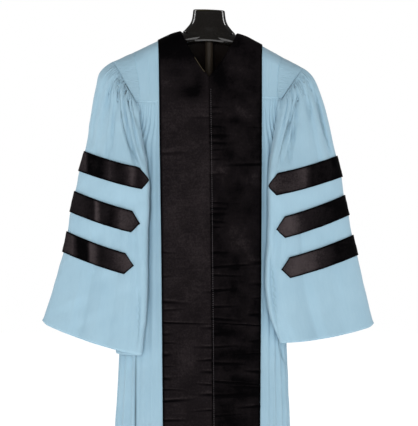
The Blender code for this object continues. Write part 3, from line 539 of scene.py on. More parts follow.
def back_yoke_border(share):
    """The yoke's outer edge as a place across and a drop below the shoulder line."""
    corner = crowded(0.25)
    side = 1 if share <= 0.5 else -1
    along = min(share, 1 - share)
    if along < corner:
        top = armhole_top(side)
        height = top + (BACK_SEAM_SIDE - top) * (along / corner) ** BACK_CORNER_CURVE
        across = side * float(side_value(ARMHOLE, side, height))
    else:
        inward = (along - corner) / (0.5 - corner)
        height = BACK_SEAM_SIDE + (BACK_SEAM_MIDDLE - BACK_SEAM_SIDE) * math.sin(inward * math.pi / 2)
        across = side * float(side_value(ARMHOLE, side, BACK_SEAM_SIDE)) * (1 - inward)
    return across, float(ridge(across)) - height


def back_seam_height(across):
    inward = 1 - min(abs(across) / BACK_SEAM_REACH, 1.0)
    return BACK_SEAM_SIDE + (BACK_SEAM_MIDDLE - BACK_SEAM_SIDE) * math.sin(inward * math.pi / 2)


def back_grid():
    """The fluted back panel, from the right side to the left side."""
    columns = BACK_FLUTES * COLUMNS_PER_FLUTE
    grid = np.zeros((len(BACK_HEIGHTS) + 1, columns + 1, 3))
    for column in range(columns + 1):
        share = column / columns
        side = 1 if share <= 0.5 else -1
        place = abs(1 - 2 * share)
        uneven = 1 + sum(swell.size * math.sin(share * swell.rate + swell.start) for swell in FLUTE_SWELLS)
        drift = FLUTE_DRIFT.size * math.sin(share * FLUTE_DRIFT.rate + FLUTE_DRIFT.start)
        wave = (1 - math.cos(2 * math.pi * (share * BACK_FLUTES + drift))) / 2
        fade = edge_fade(min(column, columns - column))
        for row in range(len(BACK_HEIGHTS) + 1):
            height = BACK_HEIGHTS[row - 1] if row else BACK_SEAM_SIDE
            out = fanned_out(side, height, 0.0, place, 1)
            if row == 0:
                height = back_seam_height(out) - SEAM_GAP
            point = body_point(side, out, height, 1)
            knots = [pair[0] for pair in BACK_FLUTE_DEPTH]
            depth = float(flow(height, knots, [pair[1] for pair in BACK_FLUTE_DEPTH]))
            inward = body_outward(side, out, height, 1, point) * depth * wave * uneven * fade
            grid[row, column] = point - inward
    return grid


def gathered_line(side, share, face):
    """The sleeve head's gathered line from the shoulder top, share 0, to its tip, share 1."""
    cap = CAPS[side]
    tip_height = YOKE_SEAM[side] if face < 0 else BACK_SEAM_SIDE
    down = 1 - math.cos(share * math.pi / 2)
    out = cap.top_out + (cap.tip_out - cap.top_out) * down
    height = cap.top_height + (tip_height - cap.top_height) * down
    tip = body_point(side, cap.tip_out, tip_height, face)
    return np.array([side * out, tip[1] * math.sin(share * math.pi / 2), height])


def cap_grid(side, front, yoke):
    """The smooth sleeve cap, from its front tip over the shoulder to its back tip."""
    seam_row = len(YOKE_SHARES) - 1
    front_seam = front[seam_row::-1, -1]
    corner = BACK_YOKE_COLUMNS // 4
    if side > 0:
        back_seam = yoke[-1, : corner + 1]
    else:
        back_seam = yoke[-1, ::-1][: corner + 1]
    seam = np.concatenate([front_seam, back_seam[1:]])
    rows = []
    for index, point in enumerate(seam):
        face = -1 if index <= seam_row else 1
        span = seam_row if face < 0 else corner
        share = abs(index - seam_row) / span
        outer = gathered_line(side, share, face)
        start = point + np.array([side * SEAM_GAP, 0, 0])
        line = [start + (outer - start) * step / CAP_ROWS for step in range(CAP_ROWS + 1)]
        rows.append(line)
    return np.array(rows).transpose(1, 0, 2)


def along(points, count):
    """The same broken line cut into equal lengths, staying on its straight stretches."""
    lengths = lengths_along(points)
    wanted = np.linspace(0, lengths[-1], count + 1)
    return np.stack([np.interp(wanted, lengths, points[:, axis]) for axis in range(3)], axis=1)


def sleeve_head(side, cap, front, back):
    """The sleeve's first ring: up the gathered line, over to the back, and round the armhole."""
    seam_row = len(YOKE_SHARES) - 1
    edge = cap[-1]
    front_line = along(edge[: seam_row + 1], FRONT_SLEEVE_COLUMNS)
    back_crease_shade = along(edge[seam_row:], CAP_BACK_COLUMNS)
    column = 0 if side > 0 else -1
    back_hole = along(back[:3, column], ARMHOLE_COLUMNS)
    front_hole = along(front[seam_row : seam_row + 3, -1][::-1], ARMHOLE_COLUMNS)
    ring = np.concatenate([front_line, back_crease_shade[1:], back_hole, front_hole[1:]])
    ring[:, 0] += side * SEAM_GAP * 2
    ring[:, 2] -= SEAM_GAP / 2
    return ring


def sleeve_grid(side, head):
    """The rings of a sleeve from its head to its hem, kept clear of the body."""
    sections = SLEEVE[side]
    count = len(head)
    rings = np.zeros((len(sections), count, 3))
    for station, section in enumerate(sections):
        for column in range(count):
            turn = turn_of(column, count)
            rings[station, column] = section_point(side, section, turn, station)
    offset = head - rings[0]
    for station, fade in enumerate(SEAM_FADE):
        rings[station] += offset * fade
    for station in range(1, len(sections)):
        for column in range(count):
            rings[station, column] = clear_of_body(side, rings[station, column])
    return rings


def turn_of(column, count):
    """How far round a sleeve a column lies: its front columns take half a turn, its back ones the rest."""
    if column <= FRONT_SLEEVE_COLUMNS:
        return math.pi * column / FRONT_SLEEVE_COLUMNS
    return math.pi + math.pi * (column - FRONT_SLEEVE_COLUMNS) / (count - FRONT_SLEEVE_COLUMNS)


def flattened(reach):
    """A sine or a cosine as a flattened ring has it."""
    return math.copysign(abs(reach) ** SECTION_POWER, reach)


def section_point(side, section, turn, station):
    """A point of a flattened ring: turn 0 is its inner edge, half a turn its outer edge."""
    swing = flattened(math.cos(turn))
    bulge = flattened(math.sin(turn))
    place = (1 - swing) / 2
    face = -1 if bulge >= 0 else 1
    out = section.inner_out + (section.outer_out - section.inner_out) * place
    height = section.inner_height + (section.outer_height - section.inner_height) * place
    height -= HEM_SAG * 4 * place * (1 - place) * station / len(SLEEVE[side])
    middle = -(section.forward + (OUTER_FORWARD - section.forward) * place)
    depth = (section.depth if face < 0 else section.back_depth) * abs(bulge)
    depth -= fold_depth(side, place, station, face) * abs(bulge) ** FOLD_EDGE_POWER
    return np.array([side * out, middle + face * depth, height])


def fold_depth(side, place, station, face):
    """How deep the folds and the head's gathers press a sleeve in at a place across it."""
    total = 0.0
    for fold in SLEEVE_FOLDS[side]:
        if fold.face != face or not fold.head <= station <= fold.end:
            continue
        way = (station - fold.head) / (min(fold.end, len(SLEEVE[side]) - 1) - fold.head)
        middle = fold.head_place + (fold.end_place - fold.head_place) * way
        ends = min(1.0, (station - fold.head) / FOLD_START, max(fold.end - station, 0.0) / FOLD_END)
        total += fold.depth * ends * math.exp(-(((place - middle) / fold.width) ** 2))
    gathers = max(0.0, 1.0 - station / HEAD_GATHER_FADE) * min(station, 1)
    total += HEAD_GATHER_DEPTH * gathers * math.cos(2 * math.pi * HEAD_GATHERS * place)
    return total


def clear_of_body(side, point):
    """The point, moved straight out of the body where it would come too near to it."""
    across, level, height = point
    face = -1 if level < 0 else 1
    reach = float(side_value(HALF_WIDTH, side, height)) + BODY_CLEARANCE
    depth = float(body_depth(across, height, face)) + BODY_CLEARANCE
    size = (abs(across) / reach) ** ROUND_POWER + (abs(level) / depth) ** ROUND_POWER
    if size >= 1.0 or side * across <= 0:
        return point
    grow = size ** (-1.0 / ROUND_POWER)
    return np.array([across * grow, level * grow, height])


def place_of(column, count):
    """A column's place across a sleeve, from its inner edge, 0, to its outer edge, 1."""
    return (1 - flattened(math.cos(turn_of(column, count)))) / 2


def form_top(across):
    return float(ridge(across)) - CLOTH_WALL - REST_GAP


def handed(grid, side):
    """The same grid with its columns running to the right, as every surface here has them."""
    return grid if side > 0 else grid[:, ::-1]


# How fine each dressed surface is: the most metres between its rows and between its columns
FINENESS = {
    "yoke_front": (0.006, 0.0024),
    "facing": (0.0026, 0.0040),
    "front": (0.009, 0.0022),
    "back_yoke": (0.006, 0.006),
    "back": (0.012, 0.0030),
    "facing_neck": (0.004, 0.005),
    "neck_lining": (0.006, 0.006),
    "cap": (0.004, 0.004),
    "sleeve": (0.0070, 0.0024),
    "bar": (0.0045, 0.0030),
    "zip": (0.010, 0.006),
    "neck_block": (0.0015, 0.0050),
}

# Small uneven waves of each surface: how long and deep they are, and the seed of their random draws
Rumple = namedtuple("Rumple", "size depth seed")
RUMPLES = {
    "yoke_front": Rumple(0.060, 0.0004, 3),
    "front": Rumple(0.090, 0.0006, 7),
    "back": Rumple(0.110, 0.0006, 12),
    "facing_neck": Rumple(0.050, 0.0003, 5),
    "cap": Rumple(0.030, 0.0004, 50),
    "sleeve": Rumple(0.070, 0.0008, 60),
    "bar": Rumple(0.026, 0.0003, 0),
}
RUMPLE_WAVES = 7

# Fine gathers below a seam: how many, how deep, how far they run down and how far they may stand out
Gathers = namedtuple("Gathers", "count depth reach stand_out seed")
GATHERS = {
    "front": Gathers(17.0, 0.0011, 0.055, 0.0006, 20),
    "back": Gathers(42.0, 0.0010, 0.050, 0.0006, 31),
    "sleeve": Gathers(64.0, 0.0012, 0.034, 0.0004, 70),
}
GATHER_WAVES = 3

# How much shallower the flutes are made, and how far across each point's neighbours pull at it
SOFTEN_REACH = 0.0075
FRONT_SOFTENED = {-1: 0.80, 1: 0.86}
BACK_SOFTENED = 0.35

# An edge turned in above a piece's first row
TUCK_RISE = 0.0022
TUCK_BACK = 0.0012

# The sleeve's head stands out below its seam, and the outer corner of its hem is rounded
PUFF_HEIGHT = 0.0050
PUFF_REACH = 0.024
HEM_ROUND = 0.0075
HEM_CORNER_REACH = 0.016
HEM_CORNER_ROWS = ((-1, 1.0), (-2, 0.45), (-3, 0.15))

# A crease presses only where the cloth faces the way it is seen from. Sharp ones have a painted shade line
CREASE_FACING = 2.5
CREASE_FADE = 0.6
FULL_SHADE_DEPTH = 0.0070
SHADE_LINE_WIDTH = 0.0017
BLUNT_WIDTH = 0.0050

# The fold of the body beside each sleeve, from below the armhole down
BESIDE_TOP = 1.29
BESIDE_DEPTH = {-1: 0.0056, 1: 0.0040}
BESIDE_WIDTH = 0.0021
BESIDE_GAP = 0.0014
BESIDE_STEP = 4

# The velvet: how far it is padded up, and how its edge turns in beside the zip
FACING_LIFT = 0.0004
BAND_LIFT = 0.0006
ZIP_EDGE_IN = 0.0048
ZIP_EDGE_BACK = 0.0004
BAR_LIFT = 0.0012
BAR_WALL = VELVET_WALL * 0.9
BAR_POINT_LENGTH = 0.42
BAR_POINT_WIDTH = 0.04

# Stitches, zip teeth, piping and the neck cord
BODY_NAME = "root"
STITCH_PITCH = 0.0042
STITCH_LENGTH = 0.0026
STITCH_RADIUS = 0.00028
ZIP_STITCH_PITCH = 0.0058
ZIP_STITCH_RADIUS = 0.0004
ZIP_STITCH_TOP = 1.345
TOOTH_PITCH = 0.0034
TOOTH_SIZE = (0.0010, 0.0011, 0.0020)
TOOTH_STAGGER = 0.0004
TOOTH_BEHIND = 0.0006
FIRST_TOOTH_DROP = 0.004
PIPING_RADIUS = 0.0009
PIPING_OUT = 0.0012
PIPING_BESIDE = 0.0011
PIPING_STEP = 0.008
NECK_CORD_RADIUS = 0.0007
NECK_CORD_SHIFT = (0.0006, -0.0012, 0.0)
NECK_CORD_TOP = 1.424
NECK_CORD_END = 1.383


def knots_of(grid, axis):
    """How far along each row or column of a grid lies, on average."""
    lengths = np.linalg.norm(np.diff(grid, axis=axis), axis=2).mean(axis=1 - axis)
    return np.concatenate([[0.0], np.cumsum(lengths)])


def filled_in(knots, size):
    """The knots with evenly spaced places between them, no further apart than a size."""
    places = [knots[:1]]
    for low, high in zip(knots, knots[1:]):
        count = max(1, math.ceil((high - low) / size))
        places.append(np.linspace(low, high, count + 1)[1:])
    return np.concatenate(places)


def finer(grid, kind, closed=False, corners=()):
    """The same surface with many more points, smooth through all it had but for its corner columns."""
    row_size, column_size = FINENESS[kind]
    rows = knots_of(grid, 0)
    grid = flow(filled_in(rows, row_size), rows, grid)
    if closed:
        grid = np.concatenate([grid[:, -3:], grid, grid[:, :4]], axis=1)
    columns = knots_of(grid, 1)
    places = filled_in(columns, column_size)
    if corners:
        parts = []
        for low, high in zip((0, *corners), (*corners, len(columns) - 1)):
            part = places[(places >= columns[low] + (low > 0) * 1e-9) & (places <= columns[high] + 1e-9)]
            parts.append(flow(part, columns[low : high + 1], grid[:, low : high + 1].transpose(1, 0, 2)))
        return np.concatenate(parts).transpose(1, 0, 2)
    if closed:
        places = places[(places >= columns[3] - 1e-9) & (places <= columns[-4] + 1e-9)]
    turned = flow(places, columns, grid.transpose(1, 0, 2))
    return turned.transpose(1, 0, 2)


def outward_of(grid, closed=False):
    """The outward direction at each point; a closed grid's last column repeats its first."""
    if not closed:
        return normals(grid)
    found = normals(grid[:, :-1], closed=True)
    return np.concatenate([found, found[:, :1]], axis=1)


def moved_out(grid, distance, closed=False):
    """The surface moved straight out, by one distance or by one for each point."""
    amount = np.broadcast_to(np.asarray(distance, float), grid.shape[:2])
    return grid + outward_of(grid, closed) * amount[..., None]


# Creases pressed into the cloth: a path of places across and up, seen from the front or the back
Crease = namedtuple("Crease", "path depth width")


SLEEVE_CREASES = {
    -1: (
        Crease(((-0.257, 1.366), (-0.266, 1.297), (-0.273, 1.191)), 0.0040, 0.0070),
        Crease(((-0.240, 1.376), (-0.241, 1.347), (-0.239, 1.318), (-0.231, 1.265), (-0.217, 1.212),
                (-0.201, 1.167), (-0.184, 1.138)), 0.0060, 0.0042),
        Crease(((-0.233, 1.366), (-0.214, 1.310), (-0.196, 1.262), (-0.188, 1.238)), 0.0040, 0.0050),
        Crease(((-0.217, 1.328), (-0.204, 1.297), (-0.188, 1.244)), 0.0035, 0.0045),
        Crease(((-0.290, 1.330), (-0.304, 1.262), (-0.312, 1.190)), 0.0025, 0.0070),
        Crease(((-0.186, 0.805), (-0.188, 0.720), (-0.190, 0.655)), 0.0055, 0.0060),
        Crease(((-0.331, 0.885), (-0.338, 0.800), (-0.345, 0.700)), 0.0030, 0.0120),
        Crease(((-0.262, 0.850), (-0.268, 0.760), (-0.271, 0.660)), 0.0025, 0.0140),
    ),
    1: (
        Crease(((0.276, 1.355), (0.289, 1.297), (0.305, 1.230), (0.322, 1.169)), 0.0045, 0.0042),
        Crease(((0.240, 1.334), (0.232, 1.304), (0.223, 1.281), (0.212, 1.247), (0.195, 1.190),
                (0.178, 1.130)), 0.0050, 0.0044),
        Crease(((0.228, 1.270), (0.223, 1.228), (0.215, 1.183), (0.195, 1.140)), 0.0040, 0.0060),
        Crease(((0.260, 1.357), (0.265, 1.315), (0.268, 1.250)), 0.0035, 0.0050),
        Crease(((0.159, 0.939), (0.167, 0.846), (0.175, 0.743), (0.186, 0.671)), 0.0050, 0.0060),
        Crease(((0.300, 0.860), (0.310, 0.770), (0.318, 0.690)), 0.0028, 0.0130),
        Crease(((0.232, 0.840), (0.240, 0.760), (0.246, 0.685)), 0.0022, 0.0120),
    ),
}

# The deep folds of the body below each sleeve's hem
FRONT_CREASES = {
    -1: (
        Crease(((-0.1885, 0.700), (-0.1940, 0.620), (-0.1945, 0.480), (-0.1940, 0.300), (-0.1930, 0.110)),
               0.0075, 0.0028),
    ),
    1: (
        Crease(((0.1800, 0.720), (0.1860, 0.665), (0.1935, 0.628), (0.2060, 0.606)), 0.0050, 0.0028),
        Crease(((0.1700, 0.600), (0.1720, 0.450), (0.1710, 0.300)), 0.0015, 0.0050),
    ),
}

YOKE_CREASES = {
    -1: (
        Crease(((-0.1610, 1.430), (-0.1590, 1.370), (-0.1600, 1.302)), 0.0016, 0.0026),
        Crease(((-0.1420, 1.440), (-0.1410, 1.380), (-0.1420, 1.310)), 0.0008, 0.0030),
    ),
    1: (
        Crease(((0.1480, 1.435), (0.1470, 1.380), (0.1465, 1.316)), 0.0012, 0.0026),
        Crease(((0.1620, 1.425), (0.1600, 1.370), (0.1590, 1.320)), 0.0009, 0.0026),
    ),
}

BACK_CREASES = (
    Crease(((-0.250, 1.330), (-0.262, 1.250), (-0.270, 1.130)), 0.0045, 0.0080),
    Crease(((-0.215, 1.300), (-0.232, 1.220), (-0.240, 1.100)), 0.0040, 0.0070),
    Crease(((-0.300, 0.900), (-0.312, 0.800), (-0.322, 0.690)), 0.0040, 0.0110),
    Crease(((0.245, 1.325), (0.262, 1.240), (0.276, 1.120)), 0.0045, 0.0080),
    Crease(((0.218, 1.290), (0.230, 1.200), (0.236, 1.100)), 0.0040, 0.0070),
    Crease(((0.290, 0.900), (0.302, 0.800), (0.312, 0.700)), 0.0040, 0.0110),
)


def troughs(grid, creases, face=-1, closed=False):
    """How deep the creases press each point in, and how strong the painted shade line at their bottom is."""
    facing = np.clip(outward_of(grid, closed)[..., 1] * face * CREASE_FACING, 0.0, 1.0)
    flat = grid[..., [0, 2]]
    total = np.zeros(grid.shape[:2])
    line = np.zeros(grid.shape[:2])
    for crease in creases:
        points = np.array(crease.path)
        lengths = np.linalg.norm(np.diff(points, axis=0), axis=1)
        before = np.concatenate([[0.0], np.cumsum(lengths)])
        nearest = np.full(grid.shape[:2], np.inf)
        place = np.zeros(grid.shape[:2])
        for index, length in enumerate(lengths):
            run = (points[index + 1] - points[index]) / length
            along_run = np.clip((flat - points[index]) @ run, 0.0, length)
            away = np.linalg.norm(flat - points[index] - along_run[..., None] * run, axis=-1)
            closer = away < nearest
            nearest = np.where(closer, away, nearest)
            place = np.where(closer, (before[index] + along_run) / before[-1], place)
        fade = np.sin(np.pi * np.clip(place, 0.02, 0.98)) ** CREASE_FADE
        total += crease.depth * fade * np.exp(-((nearest / crease.width) ** 2))
        sharp = np.clip(1.6 - crease.width / BLUNT_WIDTH, 0.0, 1.0)
        # Painted shade line along the bottom of a sharp crease
        line += sharp * crease.depth / FULL_SHADE_DEPTH * fade * np.exp(-((nearest / SHADE_LINE_WIDTH) ** 2))
    return total * facing, np.clip(line * facing, 0.0, 1.0)


def creased(grid, creases, face=-1, closed=False):
    """The surface with a soft trough along each crease, and the painted shade lines to store on it."""
    total, line = troughs(grid, creases, face, closed)
    return grid - outward_of(grid, closed) * total[..., None], line


def tucked(grid, closed=False):
    """The surface with a narrow turned-in edge above its first row, under its neighbour's edge."""
    up = grid[0] - grid[1]
    up /= np.linalg.norm(up, axis=1, keepdims=True)
    turned = grid[0] + up * TUCK_RISE - outward_of(grid, closed)[0] * TUCK_BACK
    return np.concatenate([turned[None], grid])


def silhouette(grid, side):
    """The inner edge of a sleeve as seen from the front: a place across and up for each row."""
    columns = (grid[..., 0] * side).argmin(axis=1)
    edge = grid[np.arange(len(grid)), columns]
    return edge[:, [0, 2]]


def softened(grid, share):
    """The surface with its flutes made shallower across, but for its two side edges."""
    columns = knots_of(grid, 1)
    pull = np.exp(-(((columns[:, None] - columns[None, :]) / SOFTEN_REACH) ** 2))
    pull /= pull.sum(axis=1, keepdims=True)
    even = np.einsum("ij,rjk->rik", pull, grid)
    from_edge = np.minimum(columns, columns[-1] - columns)
    amount = share * np.clip(from_edge / (1.2 * SOFTEN_REACH), 0.0, 1.0)
    return grid + (even - grid) * amount[None, :, None] * np.array([0.0, 1.0, 0.0])


def puffed(grid):
    """A sleeve whose head stands out a little just below its gathered seam."""
    drop = np.maximum(grid[:1, :, 2] - grid[..., 2], 0.0) / PUFF_REACH
    return moved_out(grid, PUFF_HEIGHT * drop * np.exp(1 - drop), closed=True)


def rounded_corner(grid):
    """A sleeve with the outer corner of its hem rounded off."""
    grid = grid.copy()
    for row, share in HEM_CORNER_ROWS:
        out = np.abs(grid[row, :, 0])
        near = np.clip(1 - (out.max() - out) / HEM_CORNER_REACH, 0.0, 1.0)
        grid[row, :, 2] += HEM_ROUND * share * near ** 2
    return grid


def rumpled(grid, kind, number=0, closed=False):
    """Small uneven waves over a whole surface, from a few sine waves that bend one another."""
    rumple = RUMPLES[kind]
    chance = np.random.default_rng(rumple.seed + number)
    height = np.zeros(grid.shape[:2])
    for _ in range(RUMPLE_WAVES):
        turn = chance.normal(size=3)
        turn /= np.linalg.norm(turn)
        phase = grid @ turn * (2 * math.pi / (rumple.size * (0.7 + 0.6 * chance.random())))
        bend = grid @ chance.normal(size=3) * (1.6 / rumple.size)
        height += np.sin(phase + 1.7 * np.sin(bend) + chance.random() * 6.3)
    return moved_out(grid, rumple.depth * height / 3, closed)


def gathered(grid, kind, number=0, closed=False):
    """The surface with fine gathers below its top seam, which fade down over their reach."""
    row = GATHERS[kind]
    chance = np.random.default_rng(row.seed + number)
    columns = knots_of(grid, 1)
    across = columns / columns[-1]
    drop = np.maximum(grid[:1, :, 2] - grid[..., 2], 0.0)
    wave = np.zeros(grid.shape[:2])
    for layer in range(GATHER_WAVES):
        turns = row.count * (1 + 0.45 * layer + 0.2 * chance.random())
        wave += np.sin(2 * math.pi * turns * across + chance.random() * 6.3)[None, :] / (1.4 + layer)
    edge = np.clip(np.minimum(across, 1 - across) * 12, 0, 1)[None, :]
    ripple = wave * row.depth * np.exp(-((drop / row.reach) ** 1.2)) * edge
    return moved_out(grid, np.minimum(ripple, row.stand_out), closed)


def surface(name, grid, wall, look, outward=False, closed=False):
    """A cloth piece over a grid, with its wall and a map of its cut in metres."""
    rows, columns = grid.shape[:2]
    mesh = bmesh.new()
    mesh.loops.layers.uv.new("cut")
    bmesh.ops.create_grid(mesh, x_segments=columns - 1, y_segments=rows - 1, size=0.5, calc_uvs=True)
    bmesh.ops.reverse_faces(mesh, faces=mesh.faces)
    data = bpy.data.meshes.new(name)
    mesh.to_mesh(data)
    mesh.free()
    data.vertices.foreach_set("co", np.ascontiguousarray(grid, np.float32).ravel())
    width = knots_of(grid, 1)[-1]
    length = knots_of(grid, 0)[-1]
    cut = np.zeros(len(data.loops) * 2, np.float32)
    data.uv_layers["cut"].data.foreach_get("uv", cut)
    cut = cut.reshape(-1, 2) * (width, length)
    data.uv_layers["cut"].data.foreach_set("uv", cut.astype(np.float32).ravel())
    if closed:
        mesh = bmesh.new()
        mesh.from_mesh(data)
        bmesh.ops.remove_doubles(mesh, verts=mesh.verts, dist=1e-6)
        mesh.to_mesh(data)
        mesh.free()
    data.shade_smooth()
    data.materials.append(look)
    made = bpy.data.objects.new(name, data)
    bpy.context.scene.collection.objects.link(made)
    if wall:
        layer = made.modifiers.new("Wall", "SOLIDIFY")
        layer.thickness = wall
        layer.offset = 1.0 if outward else -1.0
    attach(made, BODY_NAME)
    return made


def declared(piece, grid):
    """States the piece's cut: its widest row, its longest column and its real area."""
    width = float(np.linalg.norm(np.diff(grid, axis=1), axis=2).sum(axis=1).max())
    length = float(np.linalg.norm(np.diff(grid, axis=0), axis=2).sum(axis=0).max())
    across = grid[:-1, 1:] - grid[:-1, :-1]
    down = grid[1:, :-1] - grid[:-1, :-1]
    area = float(np.linalg.norm(np.cross(across, down), axis=2).sum())
    area = min(area, width * length)
    print(f"cut {piece.name}: {width:.3f} x {length:.3f} m, area {area:.3f} m2")


def tube(name, path, radius, look, sides=8):
    """A thin round strand along a path, such as a piping cord."""
    path = np.asarray(path, float)
    line = np.gradient(path, axis=0)
    line /= np.linalg.norm(line, axis=1, keepdims=True)
    aside = np.cross(line, (0.0, 1.0, 0.0))
    aside /= np.maximum(np.linalg.norm(aside, axis=1, keepdims=True), 1e-9)
    out = np.cross(line, aside)
    turns = np.linspace(0, 2 * math.pi, sides + 1)
    grid = path[:, None] + radius * (np.cos(turns)[None, :, None] * aside[:, None]
                                     + np.sin(turns)[None, :, None] * out[:, None])
    return surface(name, grid, 0.0, look, closed=True)


def shade(colour, share):
    """A colour made darker or paler by a share, opaque."""
    return (*[part * share for part in colour], 1.0)


def set_stops(elements, stops):
    """A ramp's stops: it has two from the start, and the others are added."""
    for index, (place, colour) in enumerate(stops):
        stop = elements[index] if index < 2 else elements.new(place)
        stop.position = place
        stop.color = colour


class Number:
    """A socket that carries a number; sums on it add the nodes that work them out."""

    def __init__(self, look, socket):
        self.look = look
        self.socket = socket

    def worked(self, operation, first, second):
        sockets = {0: first, 1: second}
        node = self.look.node("ShaderNodeMath", {"operation": operation}, sockets)
        return Number(self.look, node.outputs[0])

    def __add__(self, other):
        return self.worked("ADD", self, other)

    def __radd__(self, other):
        return self.worked("ADD", other, self)

    def __sub__(self, other):
        return self.worked("SUBTRACT", self, other)

    def __rsub__(self, other):
        return self.worked("SUBTRACT", other, self)

    def __mul__(self, other):
        return self.worked("MULTIPLY", self, other)

    def __rmul__(self, other):
        return self.worked("MULTIPLY", other, self)

    def __truediv__(self, other):
        return self.worked("DIVIDE", self, other)

    def __pow__(self, other):
        return self.worked("POWER", self, other)


class Look:
    """One material, made node by node."""

    def __init__(self, name, constants):
        self.material = bpy.data.materials.new(name)
        self.material.use_nodes = True
        self.tree = self.material.node_tree
        self.shader = self.tree.nodes["Principled BSDF"]
        for socket, value in constants.items():
            self.shader.inputs[socket].default_value = value

    def node(self, kind, settings, sockets):
        """Any node: its settings first, a ramp's stops among them, then its sockets."""
        made = self.tree.nodes.new(kind)
        for name, value in settings.items():
            if name == "stops":
                set_stops(made.color_ramp.elements, value)
            else:
                setattr(made, name, value)
        for name, value in sockets.items():
            self.feed(made.inputs[name], value)
        return made

    def feed(self, socket, value):
        if isinstance(value, Number):
            value = value.socket
        if isinstance(value, bpy.types.NodeSocket):
            self.tree.links.new(value, socket)
        else:
            socket.default_value = value

    def number(self, kind, settings, sockets, output):
        return Number(self, self.node(kind, settings, sockets).outputs[output])

    def cut(self):
        """The piece's own cut, in metres across and down."""
        return self.node("ShaderNodeUVMap", {"uv_map": "cut"}, {}).outputs["UV"]

    def place(self):
        return self.node("ShaderNodeTexCoord", {}, {}).outputs["Object"]

    def mottle(self, where, scale, detail=3.0, roughness=0.55):
        sockets = {"Vector": where, "Scale": scale, "Detail": detail, "Roughness": roughness}
        return self.number("ShaderNodeTexNoise", {}, sockets, "Fac")

    def stretched(self, where, sizes):
        settings = {"operation": "MULTIPLY"}
        return self.node("ShaderNodeVectorMath", settings, {0: where, 1: sizes}).outputs[0]

    def bands(self, where, scale, direction):
        settings = {"wave_type": "BANDS", "bands_direction": direction, "wave_profile": "SIN"}
        return self.number("ShaderNodeTexWave", settings, {"Vector": where, "Scale": scale}, "Fac")

    def ramp(self, amount, stops):
        made = self.node("ShaderNodeValToRGB", {"stops": stops}, {"Fac": amount})
        return made.outputs["Color"]

    def mixed(self, share, first, second):
        """Two colours, from the first to the second by a share."""
        sockets = {0: share, 6: first, 7: second}
        return self.node("ShaderNodeMix", {"data_type": "RGBA"}, sockets).outputs[2]

    def marks(self, name):
        """A number stored at the points of a piece, such as its painted sheen."""
        return self.number("ShaderNodeAttribute", {"attribute_name": name}, {}, "Fac")

    def bump(self, height, distance, strength=1.0):
        sockets = {"Height": height, "Distance": distance, "Strength": strength}
        return self.node("ShaderNodeBump", {}, sockets).outputs["Normal"]


# The cloth's two tints, the painted shade at the bottom of a sharp crease and how much of it shows, and how
# close its weave is
CLOTH_SHADE = (0.324, 0.500, 0.614)
CLOTH_LIGHT = (0.378, 0.556, 0.664)
CREASE_PAINTED_SHADE = (0.030, 0.042, 0.046, 1.0)
CREASE_SHADE_SHOWN = 0.80
WEAVE_SCALE = 420.0

# The velvet's colour with no painted sheen, with half and with full painted brownish sheen
VELVET_BLACK = (0.0010, 0.0008, 0.0011, 1.0)
VELVET_HALF_SHEEN = (0.0098, 0.0077, 0.0085)
VELVET_FULL_SHEEN = (0.0420, 0.0335, 0.0350)
PILE_SCALE = 1400.0

# The polished moulding, with a painted olive sheen on its cap between two heights
MOULDING_DARK = (0.0030, 0.0023, 0.0016, 1.0)
MOULDING_PALE = (0.0070, 0.0055, 0.0038, 1.0)
CAP_SHEEN_DARK = (0.050, 0.044, 0.018, 1.0)
CAP_SHEEN_PALE = (0.085, 0.076, 0.036, 1.0)
CAP_SHEEN_FROM = 1.5470
CAP_SHEEN_TO = 1.5500

# The floor's own light, so that it is as white as the room behind the gown
FLOOR_GLOW = 0.82


def gown_cloth(name, painted_shading=1.0, wrinkle=0.0):
    """Matt light blue polyester with a fine weave, faint slubs and, on the caps, fine wrinkles; darkened by a
    share of painted shade, with a painted shade line along sharp creases.
    """
    look = Look(name, {"Roughness": 0.82, "Sheen Weight": 0.18, "Sheen Roughness": 0.45,
                       "Specular IOR Level": 0.22})
    cut = look.cut()
    place = look.place()
    slub = look.mottle(look.stretched(cut, (260.0, 34.0, 1.0)), 1.0, 2.0)
    cloud = look.mottle(place, 9.0, 3.0)
    tint = look.ramp(slub * 0.35 + cloud * 0.65, (
        (0.25, shade(CLOTH_SHADE, painted_shading)),
        (0.75, shade(CLOTH_LIGHT, painted_shading)),
    ))
    # Painted shade along the bottom of sharp creases
    tint = look.mixed(look.marks("fold") * CREASE_SHADE_SHOWN, tint, CREASE_PAINTED_SHADE)
    look.feed(look.shader.inputs["Base Color"], tint)
    look.feed(look.shader.inputs["Roughness"], 0.76 + slub * 0.12)
    weave = look.bands(cut, WEAVE_SCALE, "X") * look.bands(cut, WEAVE_SCALE, "Y")
    creasing = look.mottle(look.stretched(place, (34.0, 34.0, 16.0)), 1.0, 4.0, 0.5)
    height = weave * 0.12 + creasing * 0.9 + slub * 0.18
    if wrinkle:
        wrinkles = look.mottle(look.stretched(place, (55.0, 55.0, 430.0)), 1.0, 2.0, 0.4)
        height = height + wrinkles * wrinkle
    look.feed(look.shader.inputs["Normal"], look.bump(height, 0.0011, 0.55))
    return look.material


